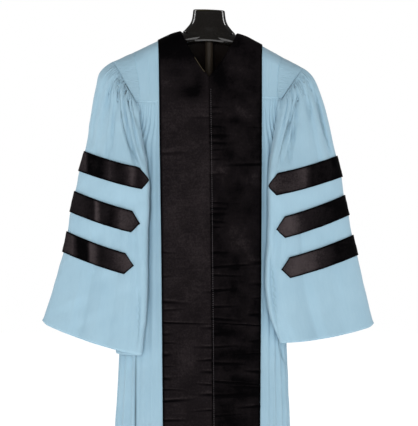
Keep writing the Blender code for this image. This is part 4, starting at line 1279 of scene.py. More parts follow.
def velvet(name, sheen_lift, patchy):
    """Black velvet: a dark pile with a painted brownish sheen, as strong as the painted sheen stored on the
    piece, with random patches, streaks and flecks.
    """
    look = Look(name, {"Sheen Weight": 0.04, "Sheen Roughness": 0.30,
                       "Sheen Tint": (0.70, 0.60, 0.58, 1.0), "Specular IOR Level": 0.03})
    cut = look.cut()
    place = look.place()
    painted_sheen = look.marks("painted_sheen")
    pile = look.mottle(cut, PILE_SCALE, 2.0)
    patch = look.mottle(look.stretched(place, (22.0, 22.0, 17.0)), 1.0, 4.0, 0.6)
    streak = look.mottle(look.stretched(place, (26.0, 26.0, 150.0)), 1.0, 3.0, 0.6)
    fleck = look.mottle(place, 240.0, 2.0, 0.5)
    # The stored painted sheen, with random patches, streaks, pile and flecks added
    sheen_and_mottle = painted_sheen + (patch - 0.5) * patchy + (streak - 0.5) * 0.22
    sheen_and_mottle = sheen_and_mottle + (pile - 0.5) * 0.45 + (fleck - 0.5) * 0.45
    # Painted sheen: black where it is low, brownish where it is high
    tint = look.ramp(sheen_and_mottle, (
        (0.02, VELVET_BLACK),
        (1.00, shade(VELVET_FULL_SHEEN, sheen_lift)),
        (0.50, shade(VELVET_HALF_SHEEN, sheen_lift)),
    ))
    look.feed(look.shader.inputs["Base Color"], tint)
    look.feed(look.shader.inputs["Roughness"], 0.66 + pile * 0.3)
    look.feed(look.shader.inputs["Normal"], look.bump(pile * 0.35 + streak * 0.65, 0.0012, 0.5))
    return look.material


def fine_grained(name, colour, roughness, scale, depth):
    """One colour with a fine grain, for the lining, the zip's parts and the threads."""
    look = Look(name, {"Specular IOR Level": 0.3})
    grain = look.mottle(look.place(), scale, 3.0)
    tint = look.ramp(grain, ((0.3, shade(colour, 0.8)), (0.7, shade(colour, 1.25))))
    look.feed(look.shader.inputs["Base Color"], tint)
    look.feed(look.shader.inputs["Roughness"], roughness + grain * 0.12)
    look.feed(look.shader.inputs["Normal"], look.bump(grain, depth, 0.5))
    return look.material


def gloss_moulding(name):
    """Polished black plastic with faint moulding ripple, dust and a painted olive sheen on its cap."""
    look = Look(name, {"Coat Roughness": 0.05, "Specular IOR Level": 0.65})
    place = look.place()
    dust = look.mottle(place, 160.0, 4.0)
    sweep = look.mottle(place, 18.0, 2.0)
    tint = look.ramp(dust * 0.5 + sweep * 0.5, (
        (0.30, MOULDING_DARK),
        (0.80, MOULDING_PALE),
    ))
    # Painted olive sheen on the cap's top, between two heights
    height = look.number("ShaderNodeSeparateXYZ", {}, {"Vector": place}, "Z")
    limits = {"Value": height, "From Min": CAP_SHEEN_FROM, "From Max": CAP_SHEEN_TO}
    cap_sheen = look.number("ShaderNodeMapRange", {}, limits, 0)
    cap = look.ramp(dust, ((0.3, CAP_SHEEN_DARK), (0.7, CAP_SHEEN_PALE)))
    look.feed(look.shader.inputs["Base Color"], look.mixed(cap_sheen, tint, cap))
    look.feed(look.shader.inputs["Roughness"], 0.10 + dust * 0.14)
    look.feed(look.shader.inputs["Coat Weight"], 0.25 + sweep * 0.25)
    look.feed(look.shader.inputs["Normal"], look.bump(sweep, 0.0008, 0.4))
    return look.material


def coated_steel(name, colour):
    """Satin black coating with a faint peel and paler scuffs."""
    look = Look(name, {"Metallic": 0.0, "Specular IOR Level": 0.3})
    place = look.place()
    peel = look.mottle(place, 420.0, 2.0)
    scuff = look.mottle(look.stretched(place, (30.0, 30.0, 6.0)), 1.0, 5.0)
    tint = look.ramp(scuff, ((0.35, shade(colour, 0.7)), (0.75, shade(colour, 1.8))))
    look.feed(look.shader.inputs["Base Color"], tint)
    look.feed(look.shader.inputs["Roughness"], 0.26 + scuff * 0.22)
    look.feed(look.shader.inputs["Normal"], look.bump(peel, 0.0002, 0.5))
    return look.material


def studio_floor(name):
    """A pale matt floor that glows a little."""
    look = Look(name, {"Roughness": 0.9, "Specular IOR Level": 0.1, "Emission Strength": FLOOR_GLOW,
                       "Emission Color": (1.0, 1.0, 1.0, 1.0)})
    speck = look.mottle(look.place(), 5.0, 3.0)
    tint = look.ramp(speck, ((0.2, (0.93, 0.93, 0.93, 1.0)), (0.8, (0.95, 0.95, 0.95, 1.0))))
    look.feed(look.shader.inputs["Base Color"], tint)
    return look.material


# The light blue looks are one cloth with painted shade: the yoke and the caps, which face the top light, are
# painted darker than the body and the sleeves
looks = {
    "cloth": gown_cloth("light_blue_cloth", 0.975),
    "sleeve": gown_cloth("light_blue_sleeve", 0.99),
    "yoke": gown_cloth("light_blue_yoke_painted_darker", 0.93),
    "cap": gown_cloth("light_blue_cap", 0.89, 4.0),
    # One velvet in copies with painted sheen: more on the left facing, less on the right one, most on the
    # bars
    "velvet_left": velvet("black_velvet_more_painted_sheen", 0.92, 0.40),
    "velvet_right": velvet("black_velvet_less_painted_sheen", 0.80, 1.30),
    "bars": velvet("black_velvet_bars", 1.35, 0.60),
    "lining": fine_grained("dark_lining", (0.0060, 0.0036, 0.0028), 0.62, 260.0, 0.0003),
    "tape": fine_grained("zip_tape", (0.010, 0.010, 0.012), 0.7, 500.0, 0.0002),
    "teeth": fine_grained("zip_teeth", (0.020, 0.020, 0.022), 0.35, 300.0, 0.0001),
    "thread": fine_grained("blue_thread", (0.30, 0.50, 0.62), 0.7, 900.0, 0.0001),
    "zip_thread": fine_grained("zip_thread", (0.115, 0.104, 0.112), 0.7, 900.0, 0.0001),
    "neck_cord": fine_grained("neck_cord", (0.060, 0.048, 0.026), 0.7, 500.0, 0.0001),
    "gloss": gloss_moulding("gloss_black_plastic"),
    "steel": coated_steel("black_coated_steel", (0.0120, 0.0120, 0.0130)),
    "post": coated_steel("dark_post_coating", (0.0210, 0.0160, 0.0115)),
}
# Every dressed sheet and its surface, by the name of its piece
made = {}
grids = {}

# How far the stitching presses the pile down along a velvet piece's rim, which takes its painted sheen away
# there, and how far in it does
PRESSED_RIM = 0.45
FACING_RIM = 0.0055
BAR_RIM = 0.0045
BAR_RIM_START = 0.001


def paint_sheen(piece, painted_sheen):
    """Stores the painted sheen at each point, 0 black and 1 a painted brownish sheen."""
    layer = piece.data.attributes.new("painted_sheen", "FLOAT", "POINT")
    layer.data.foreach_set("value", np.ascontiguousarray(painted_sheen, np.float32).ravel())


def paint_crease_shade(piece, line):
    """Stores the painted shade lines of the creases; the turned-in edge above the first row has none."""
    layer = piece.data.attributes.new("fold", "FLOAT", "POINT")
    line = np.concatenate([line[:1] * 0, line])[:, : len(layer.data) // (len(line) + 1)]
    layer.data.foreach_set("value", np.ascontiguousarray(line, np.float32).ravel())


def rim_pressed(painted_sheen, rim, reach):
    """The painted sheen, taken away within a reach of the stitched rim where the pile is pressed down."""
    pressed = 1.0 - np.clip(rim / reach, 0.0, 1.0)
    return painted_sheen * (1.0 - pressed) - PRESSED_RIM * pressed


def keep(name, grid, wall, look, outward=False, closed=False):
    """The dressed sheet that takes the place of the solid of the same name."""
    made[name] = surface("dressed_" + name, grid, wall, looks[look], outward, closed)
    grids[name] = grid
    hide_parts(name)
    return made[name]


def dress_fronts():
    """The front yokes and the facings; gives the coarse fronts for the pieces sewn to them."""
    fronts = {}
    for side in SIDES:
        fronts[side] = front_grid(side)
        dress_front_yoke(fronts[side], side)
        dress_facing(fronts[side], side)
    return fronts


def dress_front_yoke(coarse, side):
    """A smooth front yoke with its few soft pulls."""
    yoke = coarse[: len(YOKE_SHARES)].copy()
    yoke[0, :, 1] -= SEAM_GAP
    yoke = finer(handed(yoke, side), "yoke_front")
    yoke = rumpled(creased(yoke, YOKE_CREASES[side])[0], "yoke_front", side)
    keep(f"yoke_front_{SIDE_NAME[side]}", tucked(yoke), CLOTH_WALL, "yoke")


def dress_facing(coarse, side):
    """A velvet front facing with its puckers, its edge turned in beside the zip, its painted sheen and the
    painted light and shade of its puckers.
    """
    name = SIDE_NAME[side]
    facing = finer(laid_grid(coarse, side), "facing")
    raised, pucker_shading = puckers(facing, side)
    facing = moved_out(facing, FACING_LIFT + raised)
    edge = 0 if side > 0 else -1
    turned = facing[:, edge : edge + 1 or None] + np.array([side * ZIP_EDGE_BACK, ZIP_EDGE_IN, 0.0])
    facing = tucked(np.concatenate([turned, facing] if side > 0 else [facing, turned], axis=1))
    # The puckers' painted light and shade, widened to the turned edge and the tucked row
    pucker_shading = np.pad(pucker_shading, ((1, 0), (1, 0) if side > 0 else (0, 1)), mode="edge")
    piece = keep(f"facing_{name}", facing, VELVET_WALL, "velvet_" + name, outward=True)
    columns = knots_of(facing, 1)
    rim = columns if side < 0 else columns[-1] - columns
    # Painted sheen with the puckers' painted light and shade, taken away along the stitched rim
    paint_sheen(piece, rim_pressed(facing_painted_sheen(facing, side) + pucker_shading, rim, FACING_RIM))


def facing_painted_sheen(facing, side):
    """How strong the painted sheen is over a facing, by height and in patches of weaker or stronger painted
    sheen.
    """
    heights, sheen_levels = np.array(PAINTED_SHEEN_BY_HEIGHT[side][::-1]).T
    # Painted sheen by height, then painted darker and paler patches
    painted_sheen = np.interp(facing[..., 2], heights, sheen_levels)
    for patch in PAINTED_SHEEN_PATCHES[side]:
        across = (facing[..., 0] - patch.across) / patch.wide
        up = (facing[..., 2] - patch.height) / patch.tall
        painted_sheen += patch.change * np.exp(-(across ** 2) - up ** 2)
    return painted_sheen


def dress_panels(fronts):
    """The fluted front panels, with the fold beside each sleeve and those below its hem."""
    for side in SIDES:
        name = SIDE_NAME[side]
        panel = lower_edge_gap(fronts[side], len(YOKE_SHARES) - 1)
        panel[1:, -1, 1] -= SIDE_GAP
        panel = softened(finer(handed(panel, side), "front"), FRONT_SOFTENED[side])
        panel = gathered(panel, "front", side)
        folds = [fold_beside(grids["sleeve_" + name], side), *FRONT_CREASES[side]]
        panel, line = creased(panel, folds)
        panel = rumpled(panel, "front", side)
        # Stores the creases' painted shade lines on the panel
        paint_crease_shade(keep(f"front_{name}", tucked(panel), CLOTH_WALL, "cloth"), line)


def fold_beside(sleeve, side):
    """The thin fold of the body close to the sleeve's inner edge."""
    edge = silhouette(sleeve, side)
    edge = edge[edge[:, 1] < BESIDE_TOP][::BESIDE_STEP]
    path = [(across - side * BESIDE_GAP, height) for across, height in edge]
    return Crease(path, BESIDE_DEPTH[side], BESIDE_WIDTH)


# How strong the painted sheen is on each front facing, by height
PAINTED_SHEEN_BY_HEIGHT = {
    -1: ((1.500, -0.10), (1.430, -0.05), (1.395, 0.42), (1.355, 0.48), (1.300, 0.52), (1.100, 0.58),
         (0.900, 0.58), (0.720, 0.50), (0.450, 0.50), (0.150, 0.50)),
    1: ((1.500, 0.22), (1.300, 0.32), (1.100, 0.38), (0.950, 0.36), (0.800, 0.24), (0.450, 0.18),
        (0.150, 0.20)),
}
# Patches of weaker or stronger painted sheen: place across and up, reach across and up, and how far
Patch = namedtuple("Patch", "across height wide tall change")
PAINTED_SHEEN_PATCHES = {
    -1: (Patch(-0.045, 1.330, 0.032, 0.022, -0.46), Patch(-0.090, 1.385, 0.030, 0.014, -0.20),
         Patch(-0.028, 1.360, 0.016, 0.030, -0.30), Patch(-0.060, 0.640, 0.040, 0.050, 0.08)),
    1: (Patch(0.026, 1.365, 0.018, 0.048, -0.30), Patch(0.068, 1.256, 0.022, 0.012, -0.34),
        Patch(0.030, 1.215, 0.016, 0.030, -0.22), Patch(0.028, 1.010, 0.014, 0.040, -0.16),
        Patch(0.060, 0.865, 0.060, 0.008, -0.26), Patch(0.036, 0.695, 0.030, 0.010, -0.30),
        Patch(0.070, 0.640, 0.050, 0.014, -0.20), Patch(0.090, 0.940, 0.040, 0.040, 0.10),
        Patch(0.066, 0.532, 0.060, 0.011, -0.36), Patch(0.080, 0.585, 0.050, 0.010, 0.22),
        Patch(0.070, 0.760, 0.040, 0.024, 0.14), Patch(0.100, 0.700, 0.020, 0.012, 0.20)),
}


def laid_grid(coarse, side):
    """The velvet's own grid: the covered columns of the front, moved out by the gap."""
    outer = moved_out(handed(coarse, side), LAID_GAP)
    outer = outer[:, : COVERED_COLUMNS + 1] if side > 0 else outer[:, -COVERED_COLUMNS - 1 :]
    outer[0, :, 1] -= SEAM_GAP
    return outer


# Puckers of the velvet: how high, from which edge (0 the zip, 1 the outer edge), how far they run
Pucker = namedtuple("Pucker", "height edge reach depth")
PUCKERS = {
    -1: (
        Pucker(1.262, 0, 0.40, 0.0008), Pucker(1.166, 1, 0.70, 0.0008), Pucker(0.906, 1, 0.30, 0.0012),
        Pucker(0.842, 1, 0.25, 0.0012), Pucker(0.800, 0, 0.15, 0.0010), Pucker(0.775, 1, 0.55, 0.0016),
        Pucker(0.752, 1, 0.45, 0.0018), Pucker(0.720, 1, 1.00, 0.0026), Pucker(0.706, 0, 0.20, 0.0014),
        Pucker(0.688, 1, 0.20, 0.0016), Pucker(0.668, 1, 0.35, 0.0020), Pucker(0.655, 0, 0.35, 0.0018),
        Pucker(0.634, 1, 0.20, 0.0020), Pucker(0.622, 0, 0.28, 0.0020), Pucker(0.604, 1, 0.26, 0.0018),
        Pucker(0.590, 0, 0.22, 0.0020), Pucker(0.573, 1, 0.18, 0.0020), Pucker(0.556, 0, 0.30, 0.0022),
        Pucker(0.544, 1, 0.45, 0.0018), Pucker(0.530, 0, 0.24, 0.0020), Pucker(0.512, 1, 0.60, 0.0024),
        Pucker(0.490, 0, 0.40, 0.0020), Pucker(0.462, 1, 0.50, 0.0022), Pucker(0.430, 0, 0.45, 0.0022),
        Pucker(0.395, 1, 0.40, 0.0020), Pucker(0.350, 0, 0.35, 0.0020), Pucker(0.300, 1, 0.45, 0.0020),
        Pucker(0.245, 0, 0.35, 0.0016), Pucker(0.205, 1, 0.30, 0.0014),
    ),
    1: (
        Pucker(1.290, 0, 0.24, 0.0012), Pucker(1.272, 0, 0.26, 0.0012), Pucker(1.240, 0, 0.30, 0.0014),
        Pucker(1.236, 1, 0.30, 0.0010), Pucker(1.214, 0, 0.40, 0.0018), Pucker(1.196, 0, 0.35, 0.0020),
        Pucker(1.176, 0, 0.30, 0.0018), Pucker(1.152, 0, 0.28, 0.0016), Pucker(1.139, 1, 0.75, 0.0018),
        Pucker(1.110, 0, 0.25, 0.0012), Pucker(1.038, 0, 0.30, 0.0022), Pucker(1.022, 0, 0.28, 0.0024),
        Pucker(1.006, 0, 0.32, 0.0022), Pucker(0.988, 0, 0.30, 0.0024), Pucker(0.972, 0, 0.28, 0.0022),
        Pucker(0.905, 0, 0.30, 0.0020), Pucker(0.880, 1, 0.22, 0.0016), Pucker(0.866, 0, 1.00, 0.0024),
        Pucker(0.846, 0, 0.60, 0.0022), Pucker(0.822, 1, 0.25, 0.0014), Pucker(0.804, 0, 0.38, 0.0024),
        Pucker(0.786, 1, 0.22, 0.0016), Pucker(0.762, 0, 0.50, 0.0022), Pucker(0.740, 1, 0.30, 0.0018),
        Pucker(0.731, 0, 0.55, 0.0024), Pucker(0.712, 1, 0.95, 0.0026), Pucker(0.690, 0, 0.30, 0.0018),
        Pucker(0.672, 1, 0.24, 0.0018), Pucker(0.655, 0, 0.50, 0.0020), Pucker(0.638, 1, 0.60, 0.0022),
        Pucker(0.612, 0, 0.60, 0.0026), Pucker(0.590, 1, 0.35, 0.0020), Pucker(0.566, 0, 1.00, 0.0030),
        Pucker(0.548, 1, 0.60, 0.0022), Pucker(0.526, 0, 0.80, 0.0024), Pucker(0.500, 1, 0.50, 0.0022),
        Pucker(0.474, 0, 0.60, 0.0022), Pucker(0.440, 1, 0.60, 0.0022), Pucker(0.400, 0, 0.50, 0.0022),
        Pucker(0.350, 1, 0.55, 0.0022), Pucker(0.300, 0, 0.45, 0.0020), Pucker(0.250, 1, 0.40, 0.0018),
        Pucker(0.205, 0, 0.35, 0.0014),
    ),
}


# How wide the puckers are, how far they slant, how far the velvet stands out in all and how
# strongly their painted light and shade shows
PUCKER_WIDTH = 0.0032
PUCKER_WIDTH_SPREAD = 0.0013
PUCKER_SLANT = 0.010
PUCKER_LIMIT = 0.0045
PUCKER_PAINTED_SHADE = 330.0
PADDING = 0.0010
PADDING_WAVE = 0.0005


def puckers(grid, side):
    """How far the velvet stands out between its puckers, and their painted shade and light: a dark line with
    a paler band above it.
    """
    columns = knots_of(grid, 1)
    place = columns / columns[-1]
    from_zip = place if side > 0 else 1 - place
    total = np.zeros(grid.shape[:2])
    shown = np.zeros(grid.shape[:2])
    for number, pucker in enumerate(PUCKERS[side]):
        way = from_zip if pucker.edge == 0 else 1 - from_zip
        slant = PUCKER_SLANT * math.sin(number * 2.3) * way
        drop = grid[..., 2] - pucker.height - slant[None, :]
        thick = PUCKER_WIDTH + PUCKER_WIDTH_SPREAD * math.sin(number * 1.7)
        fade = np.clip(1.15 - way / pucker.reach, 0.0, 1.0) ** 0.8
        ridge_line = np.exp(-((drop / thick) ** 2)) - 0.45 * np.exp(-(((drop - 2.1 * thick) / thick) ** 2))
        total += pucker.depth * 0.9 * fade[None, :] * ridge_line
        # Painted shade along each pucker and painted light just above it
        pucker_light_and_shade = 0.45 * np.exp(-(((drop - 1.3 * thick) / thick) ** 2)) - np.exp(-((drop / thick / 0.75) ** 2))
        shown += pucker.depth * PUCKER_PAINTED_SHADE * fade[None, :] * pucker_light_and_shade
    broad = np.sin(grid[..., 2] * 41.0 + 2.0 * np.sin(grid[..., 0] * 30 + side))
    raised = np.clip(total + PADDING + PADDING_WAVE * broad, 0.0, PUCKER_LIMIT)
    return raised, np.clip(shown, -0.60, 0.5)


def dress_back():
    """All of the back; gives the coarse yoke and panel for the sleeves sewn to them."""
    yoke = back_yoke_grid()
    dress_back_yoke(yoke)
    panel = dress_back_panel()
    dress_neck_band(yoke)
    dress_lining(yoke)
    return yoke, panel


def behind_shoulders(grid):
    """The grid with its two shoulder edges set half a seam's gap behind the fronts."""
    grid[:, 0, 1] += SEAM_GAP / 2
    grid[:, -1, 1] += SEAM_GAP / 2
    return grid


def dress_back_yoke(coarse):
    """The smooth back yoke, with its two lower corners kept sharp."""
    quarter = BACK_YOKE_COLUMNS // 4
    corners = (quarter, BACK_YOKE_COLUMNS - quarter)
    fine = finer(behind_shoulders(coarse.copy()), "back_yoke", corners=corners)
    keep("back_yoke", fine, CLOTH_WALL, "yoke")


def dress_back_panel():
    """The fluted back panel below the back yoke."""
    panel = back_grid()
    panel[2:, 0, 1] += SIDE_GAP
    panel[2:, -1, 1] += SIDE_GAP
    fine = gathered(finer(panel, "back"), "back")
    fine = rumpled(softened(fine, BACK_SOFTENED), "back")
    keep("back", tucked(fine), CLOTH_WALL, "cloth")
    return panel


def dress_neck_band(coarse):
    """The velvet band round the back of the neck, its neck edge turned in."""
    band = behind_shoulders(moved_out(coarse, LAID_GAP)[: BAND_RINGS + 1])
    band = rumpled(finer(band, "facing_neck"), "facing_neck")
    band = moved_out(band, BAND_LIFT)
    turned = band[:1] - outward_of(band)[:1] * (CLOTH_WALL + VELVET_WALL)
    band = np.concatenate([turned, band])
    piece = keep("facing_neck", band, VELVET_WALL, "velvet_right", outward=True)
    # An even painted sheen over the whole band
    paint_sheen(piece, np.full(band.shape[:2], BAND_PAINTED_SHEEN))


def dress_lining(coarse):
    """The dark lining inside the back yoke, which shows through the V neck."""
    first, last = LINING_COLUMNS
    lining = moved_out(coarse, -(CLOTH_WALL + LAID_GAP))[:, first : last + 1]
    keep("neck_lining", finer(lining, "neck_lining"), LINING_WALL, "lining")


def dress_sleeves(fronts, yoke, back):
    """The caps, the sleeves and the bars on them."""
    for side in SIDES:
        cap = cap_grid(side, fronts[side], yoke)
        dress_cap(cap, side)
        rings = sleeve_grid(side, sleeve_head(side, cap, fronts[side], back))
        dress_sleeve(rings, side)
        for number, bar in enumerate(BARS[side], start=1):
            dress_bar(f"bar_{SIDE_NAME[side]}_{number}", side, rings, bar)


def dress_cap(coarse, side):
    """The smooth yoke over the sleeve's head."""
    fine = rumpled(finer(handed(coarse, side), "cap"), "cap", side)
    keep(f"cap_{SIDE_NAME[side]}", tucked(fine), CLOTH_WALL, "cap")


def dress_sleeve(rings, side):
    """A bell sleeve with its gathered head, its creases and its rounded corner."""
    fine = finer(handed(rings, side), "sleeve", closed=True)
    fine = puffed(gathered(fine, "sleeve", side, closed=True))
    fine, line = creased(fine, SLEEVE_CREASES[side], -1, closed=True)
    fine, back_crease_shade = creased(fine, BACK_CREASES, 1, closed=True)
    fine = rounded_corner(rumpled(fine, "sleeve", side, closed=True))
    name = "sleeve_" + SIDE_NAME[side]
    piece = keep(name, tucked(fine, closed=True), CLOTH_WALL, "sleeve", closed=True)
    # Stores the creases' painted shade lines on the sleeve
    paint_crease_shade(piece, (line + back_crease_shade)[:, :-1])


# How strong the painted sheen of each bar is, from place to place across the front
BAR_PAINTED_SHEEN = {
    "bar_left_1": ((-0.347, 0.62), (-0.325, 0.58), (-0.318, 0.20), (-0.290, 0.22), (-0.262, 0.55),
                   (-0.240, 0.30), (-0.225, 0.34), (-0.203, 0.72), (-0.185, 0.45), (-0.160, 0.62)),
    "bar_left_2": ((-0.381, 0.36), (-0.350, 0.48), (-0.318, 0.34), (-0.306, 0.36), (-0.297, 0.82),
                   (-0.283, 0.40), (-0.258, 0.32), (-0.230, 0.66), (-0.185, 0.52)),
    "bar_left_3": ((-0.389, 0.45), (-0.360, 0.66), (-0.345, 0.22), (-0.322, 0.26), (-0.313, 0.78),
                   (-0.297, 0.62), (-0.282, 0.36), (-0.250, 0.52), (-0.210, 0.70)),
    "bar_right_1": ((0.158, 0.60), (0.190, 0.52), (0.235, 0.62), (0.252, 0.70), (0.272, 0.32),
                    (0.310, 0.26), (0.352, 0.20)),
    "bar_right_2": ((0.180, 0.62), (0.212, 0.82), (0.240, 0.55), (0.270, 0.42), (0.310, 0.26), (0.368, 0.20)),
    "bar_right_3": ((0.200, 0.66), (0.230, 0.80), (0.266, 0.72), (0.300, 0.55), (0.335, 0.30), (0.392, 0.22)),
}
# The painted sheen between light and dark in that table, where it lies in the end, and how far it is spread
BAR_SHEEN_MIDDLE = 0.45
BAR_SHEEN_LEVEL = 0.40
BAR_SHEEN_CONTRAST = 1.7
# The even painted sheen of the band round the neck
BAND_PAINTED_SHEEN = 0.32


def dress_bar(name, side, rings, bar):
    """A velvet bar on its stretch of the sleeve, with a straight top and bottom and two points."""
    count = rings.shape[1]
    places = [place_of(column, count) for column in range(count)]
    first = min(range(FRONT_SLEEVE_COLUMNS), key=lambda column: abs(places[column] - bar.tip_place))
    last = min(range(FRONT_SLEEVE_COLUMNS + 1, count),
               key=lambda column: abs(places[column] - bar.tip_place - BACK_POINT_OUT))
    closed = np.concatenate([rings, rings[:, :1]], axis=1)
    outer = rings + outward_of(closed, closed=True)[:, :-1] * BAR_GAP * side
    strip = outer[bar.top : bar.top + 2, first : last + 1]
    strip = finer(handed(strip, side), "bar")
    columns = knots_of(strip, 1)
    height = knots_of(strip, 0)[-1]
    from_tip = np.minimum(columns, columns[-1] - columns)
    share = np.clip(from_tip / (height * BAR_POINT_LENGTH), BAR_POINT_WIDTH, 1.0)
    middle = strip.mean(axis=0, keepdims=True)
    strip = middle + (strip - middle) * share[None, :, None]
    strip = rumpled(strip, "bar", sum(map(ord, name)))
    piece = keep(name, moved_out(strip, BAR_LIFT), BAR_WALL, "bars", outward=True)
    down = knots_of(strip, 0)[:, None] * share[None, :]
    rim = np.minimum(np.minimum(down, down[-1:] - down), (from_tip - BAR_RIM_START)[None, :])
    # Painted sheen over the bar, taken away along its stitched rim
    paint_sheen(piece, rim_pressed(bar_painted_sheen(name, strip), rim, BAR_RIM))


def bar_painted_sheen(name, strip):
    """The painted sheen of a bar, from its table in front and even at the back."""
    places, sheen_levels = np.array(BAR_PAINTED_SHEEN[name]).T
    front = outward_of(strip)[..., 1] < 0
    sheen_level = np.where(front, np.interp(strip[..., 0], places, sheen_levels), BAR_SHEEN_MIDDLE)
    return BAR_SHEEN_LEVEL + (sheen_level - BAR_SHEEN_MIDDLE) * BAR_SHEEN_CONTRAST


def zip_point(across, height):
    """A point of the closed front's surface, on either side of the middle."""
    return body_point(1 if across >= 0 else -1, abs(across), height, -1)


def dress_zip():
    """The zip's tape behind the front edges, and its teeth."""
    heights = [height for height in (ZIP_TOP_HEIGHT, *FRONT_HEIGHTS) if height > ZIP_END_HEIGHT]
    behind = np.array([0, CLOTH_WALL + SEAM_GAP * 1.5, 0])
    rows = []
    for height in (*heights, ZIP_END_HEIGHT):
        middle = float(zip_line(height))
        rows.append([zip_point(middle + out, height) + behind for out in (-ZIP_TAPE_HALF, ZIP_TAPE_HALF)])
    keep("zip", finer(np.array(rows), "zip"), LINING_WALL, "tape")
    tops = np.arange(ZIP_TOP_HEIGHT - FIRST_TOOTH_DROP, ZIP_END_HEIGHT, -TOOTH_PITCH)
    mesh = bmesh.new()
    for number, height in enumerate(tops):
        across = float(zip_line(height)) + (TOOTH_STAGGER if number % 2 else -TOOTH_STAGGER)
        place = zip_point(across, height) + np.array([0, TOOTH_BEHIND, 0])
        found = bmesh.ops.create_cube(mesh, size=1.0)
        bmesh.ops.scale(mesh, verts=found["verts"], vec=TOOTH_SIZE)
        bmesh.ops.translate(mesh, verts=found["verts"], vec=place)
    small_pieces("zip_teeth", mesh, "teeth")


def small_pieces(name, mesh, look):
    """A finished mesh as a named piece of the one body."""
    data = bpy.data.meshes.new(name)
    mesh.to_mesh(data)
    mesh.free()
    data.materials.append(looks[look])
    piece = bpy.data.objects.new(name, data)
    bpy.context.scene.collection.objects.link(piece)
    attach(piece, BODY_NAME)
    return piece


def stitched(name, lines, look, pitch=STITCH_PITCH, radius=STITCH_RADIUS):
    """A row of short stitches along each line; a line is points on the cloth and their outward."""
    mesh = bmesh.new()
    for points, outward in lines:
        lengths = lengths_along(points)
        places = np.arange(pitch, lengths[-1] - pitch, pitch)
        spots = flow(places, lengths, points)
        ends = flow(places + STITCH_LENGTH, lengths, points)
        ups = flow(places, lengths, outward)
        for spot, end, up in zip(spots, ends, ups):
            run = Vector(end - spot).normalized()
            up = Vector(up).normalized()
            middle = Vector((spot + end) / 2) + up * radius * 0.6
            found = bmesh.ops.create_cube(mesh, size=1.0)
            turn = Vector((0, 0, 1)).rotation_difference(run).to_matrix()
            bmesh.ops.scale(mesh, verts=found["verts"], vec=(radius * 2, radius * 2, STITCH_LENGTH))
            bmesh.ops.rotate(mesh, verts=found["verts"], matrix=turn)
            bmesh.ops.translate(mesh, verts=found["verts"], vec=middle)
    return small_pieces(name, mesh, look)


def edge_line(name, axis, index):
    """A line along a row or a column of a dressed surface, with its outward directions."""
    grid = grids[name]
    outward = normals(grid)
    if axis == 0:
        return grid[index], outward[index]
    return grid[:, index], outward[:, index]


def sew():
    """The blue stitches beside the seams, and the dark ones beside the zip."""
    blue = []
    for side in SIDES:
        name = SIDE_NAME[side]
        blue.append(edge_line(f"yoke_front_{name}", 0, -2))
        outer = -2 if side > 0 else 1
        blue.append(edge_line(f"yoke_front_{name}", 1, outer))
        blue.append(edge_line(f"front_{name}", 0, -4))
    blue.append(edge_line("back_yoke", 0, -2))
    blue.append(edge_line("back", 0, -4))
    stitched("blue_stitches", blue, "thread")
    points, outward = edge_line("facing_right", 1, 2)
    shown = points[:, 2] < ZIP_STITCH_TOP
    points = points + outward * (VELVET_WALL + 0.0002)
    stitched("zip_stitches", [(points[shown], outward[shown])], "zip_thread",
             ZIP_STITCH_PITCH, ZIP_STITCH_RADIUS)


def closed_ends(piece):
    """Fills the open ends of a tube."""
    mesh = bmesh.new()
    mesh.from_mesh(piece.data)
    bmesh.ops.holes_fill(mesh, edges=mesh.edges, sides=0)
    mesh.to_mesh(piece.data)
    mesh.free()


# How far the form's shoulders sit below their solid, so that no crease of the cloth reaches them,
# and how far out from the middle that starts
FORM_SETTLED = 0.0015
SETTLED_FROM = 0.055
SETTLED_REACH = 0.020

# How smooth the stand's round parts are
RING_TURNS = np.linspace(0, 2 * math.pi, 97)
BASE_STEPS = 128
SHARP_ANGLE = math.radians(40)
COLLAR_FILLET = 0.0015
BASE_LOWER_EDGE = 0.0008

# The lowest rows of the neck block's table, which the apron takes the place of
BLOCK_ROWS_UNDER_APRON = 3

# The form's front below its flare, down to the arched lower edge in the V neck
ApronPoint = namedtuple("ApronPoint", "height half_width half_depth sag")
FORM_APRON = (
    ApronPoint(1.4890, 0.0690, 0.0316, 0.0000),
    ApronPoint(1.4850, 0.0690, 0.0318, 0.0010),
    ApronPoint(1.4780, 0.0680, 0.0322, 0.0040),
    ApronPoint(1.4710, 0.0665, 0.0326, 0.0080),
    ApronPoint(1.4675, 0.0650, 0.0320, 0.0105),
    ApronPoint(1.4660, 0.0630, 0.0300, 0.0115),
    ApronPoint(1.4662, 0.0580, 0.0250, 0.0100),
)


def dress_stand():
    """The form, its neck block and the base, smoother than their solids and on the same tables."""
    dress_neck_block()
    dress_form()
    dress_base()
    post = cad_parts["stand_post"]
    for index in range(len(post.data.materials)):
        post.material_slots[index].material = looks["post"]


def block_ring(row, sag=0.0):
    """A ring of the neck block that leans with the shoulders; a sag lets its two sides down."""
    across = row.half_width * np.cos(RING_TURNS)
    height = row.height - sag * (across / row.half_width) ** 2 - LEAN * across
    return np.stack([across, row.half_depth * np.sin(RING_TURNS), height], axis=1)


def dress_neck_block():
    """The neck block from its cap down, with the form's front below it in the V neck."""
    rows = [block_ring(row) for row in reversed(NECK_BLOCK[BLOCK_ROWS_UNDER_APRON:])]
    rows += [block_ring(row, row.sag) for row in FORM_APRON]
    rings = finer(np.array(rows), "neck_block")
    block = surface("neck_block", rings, 0.0, looks["gloss"], closed=True)
    closed_ends(block)


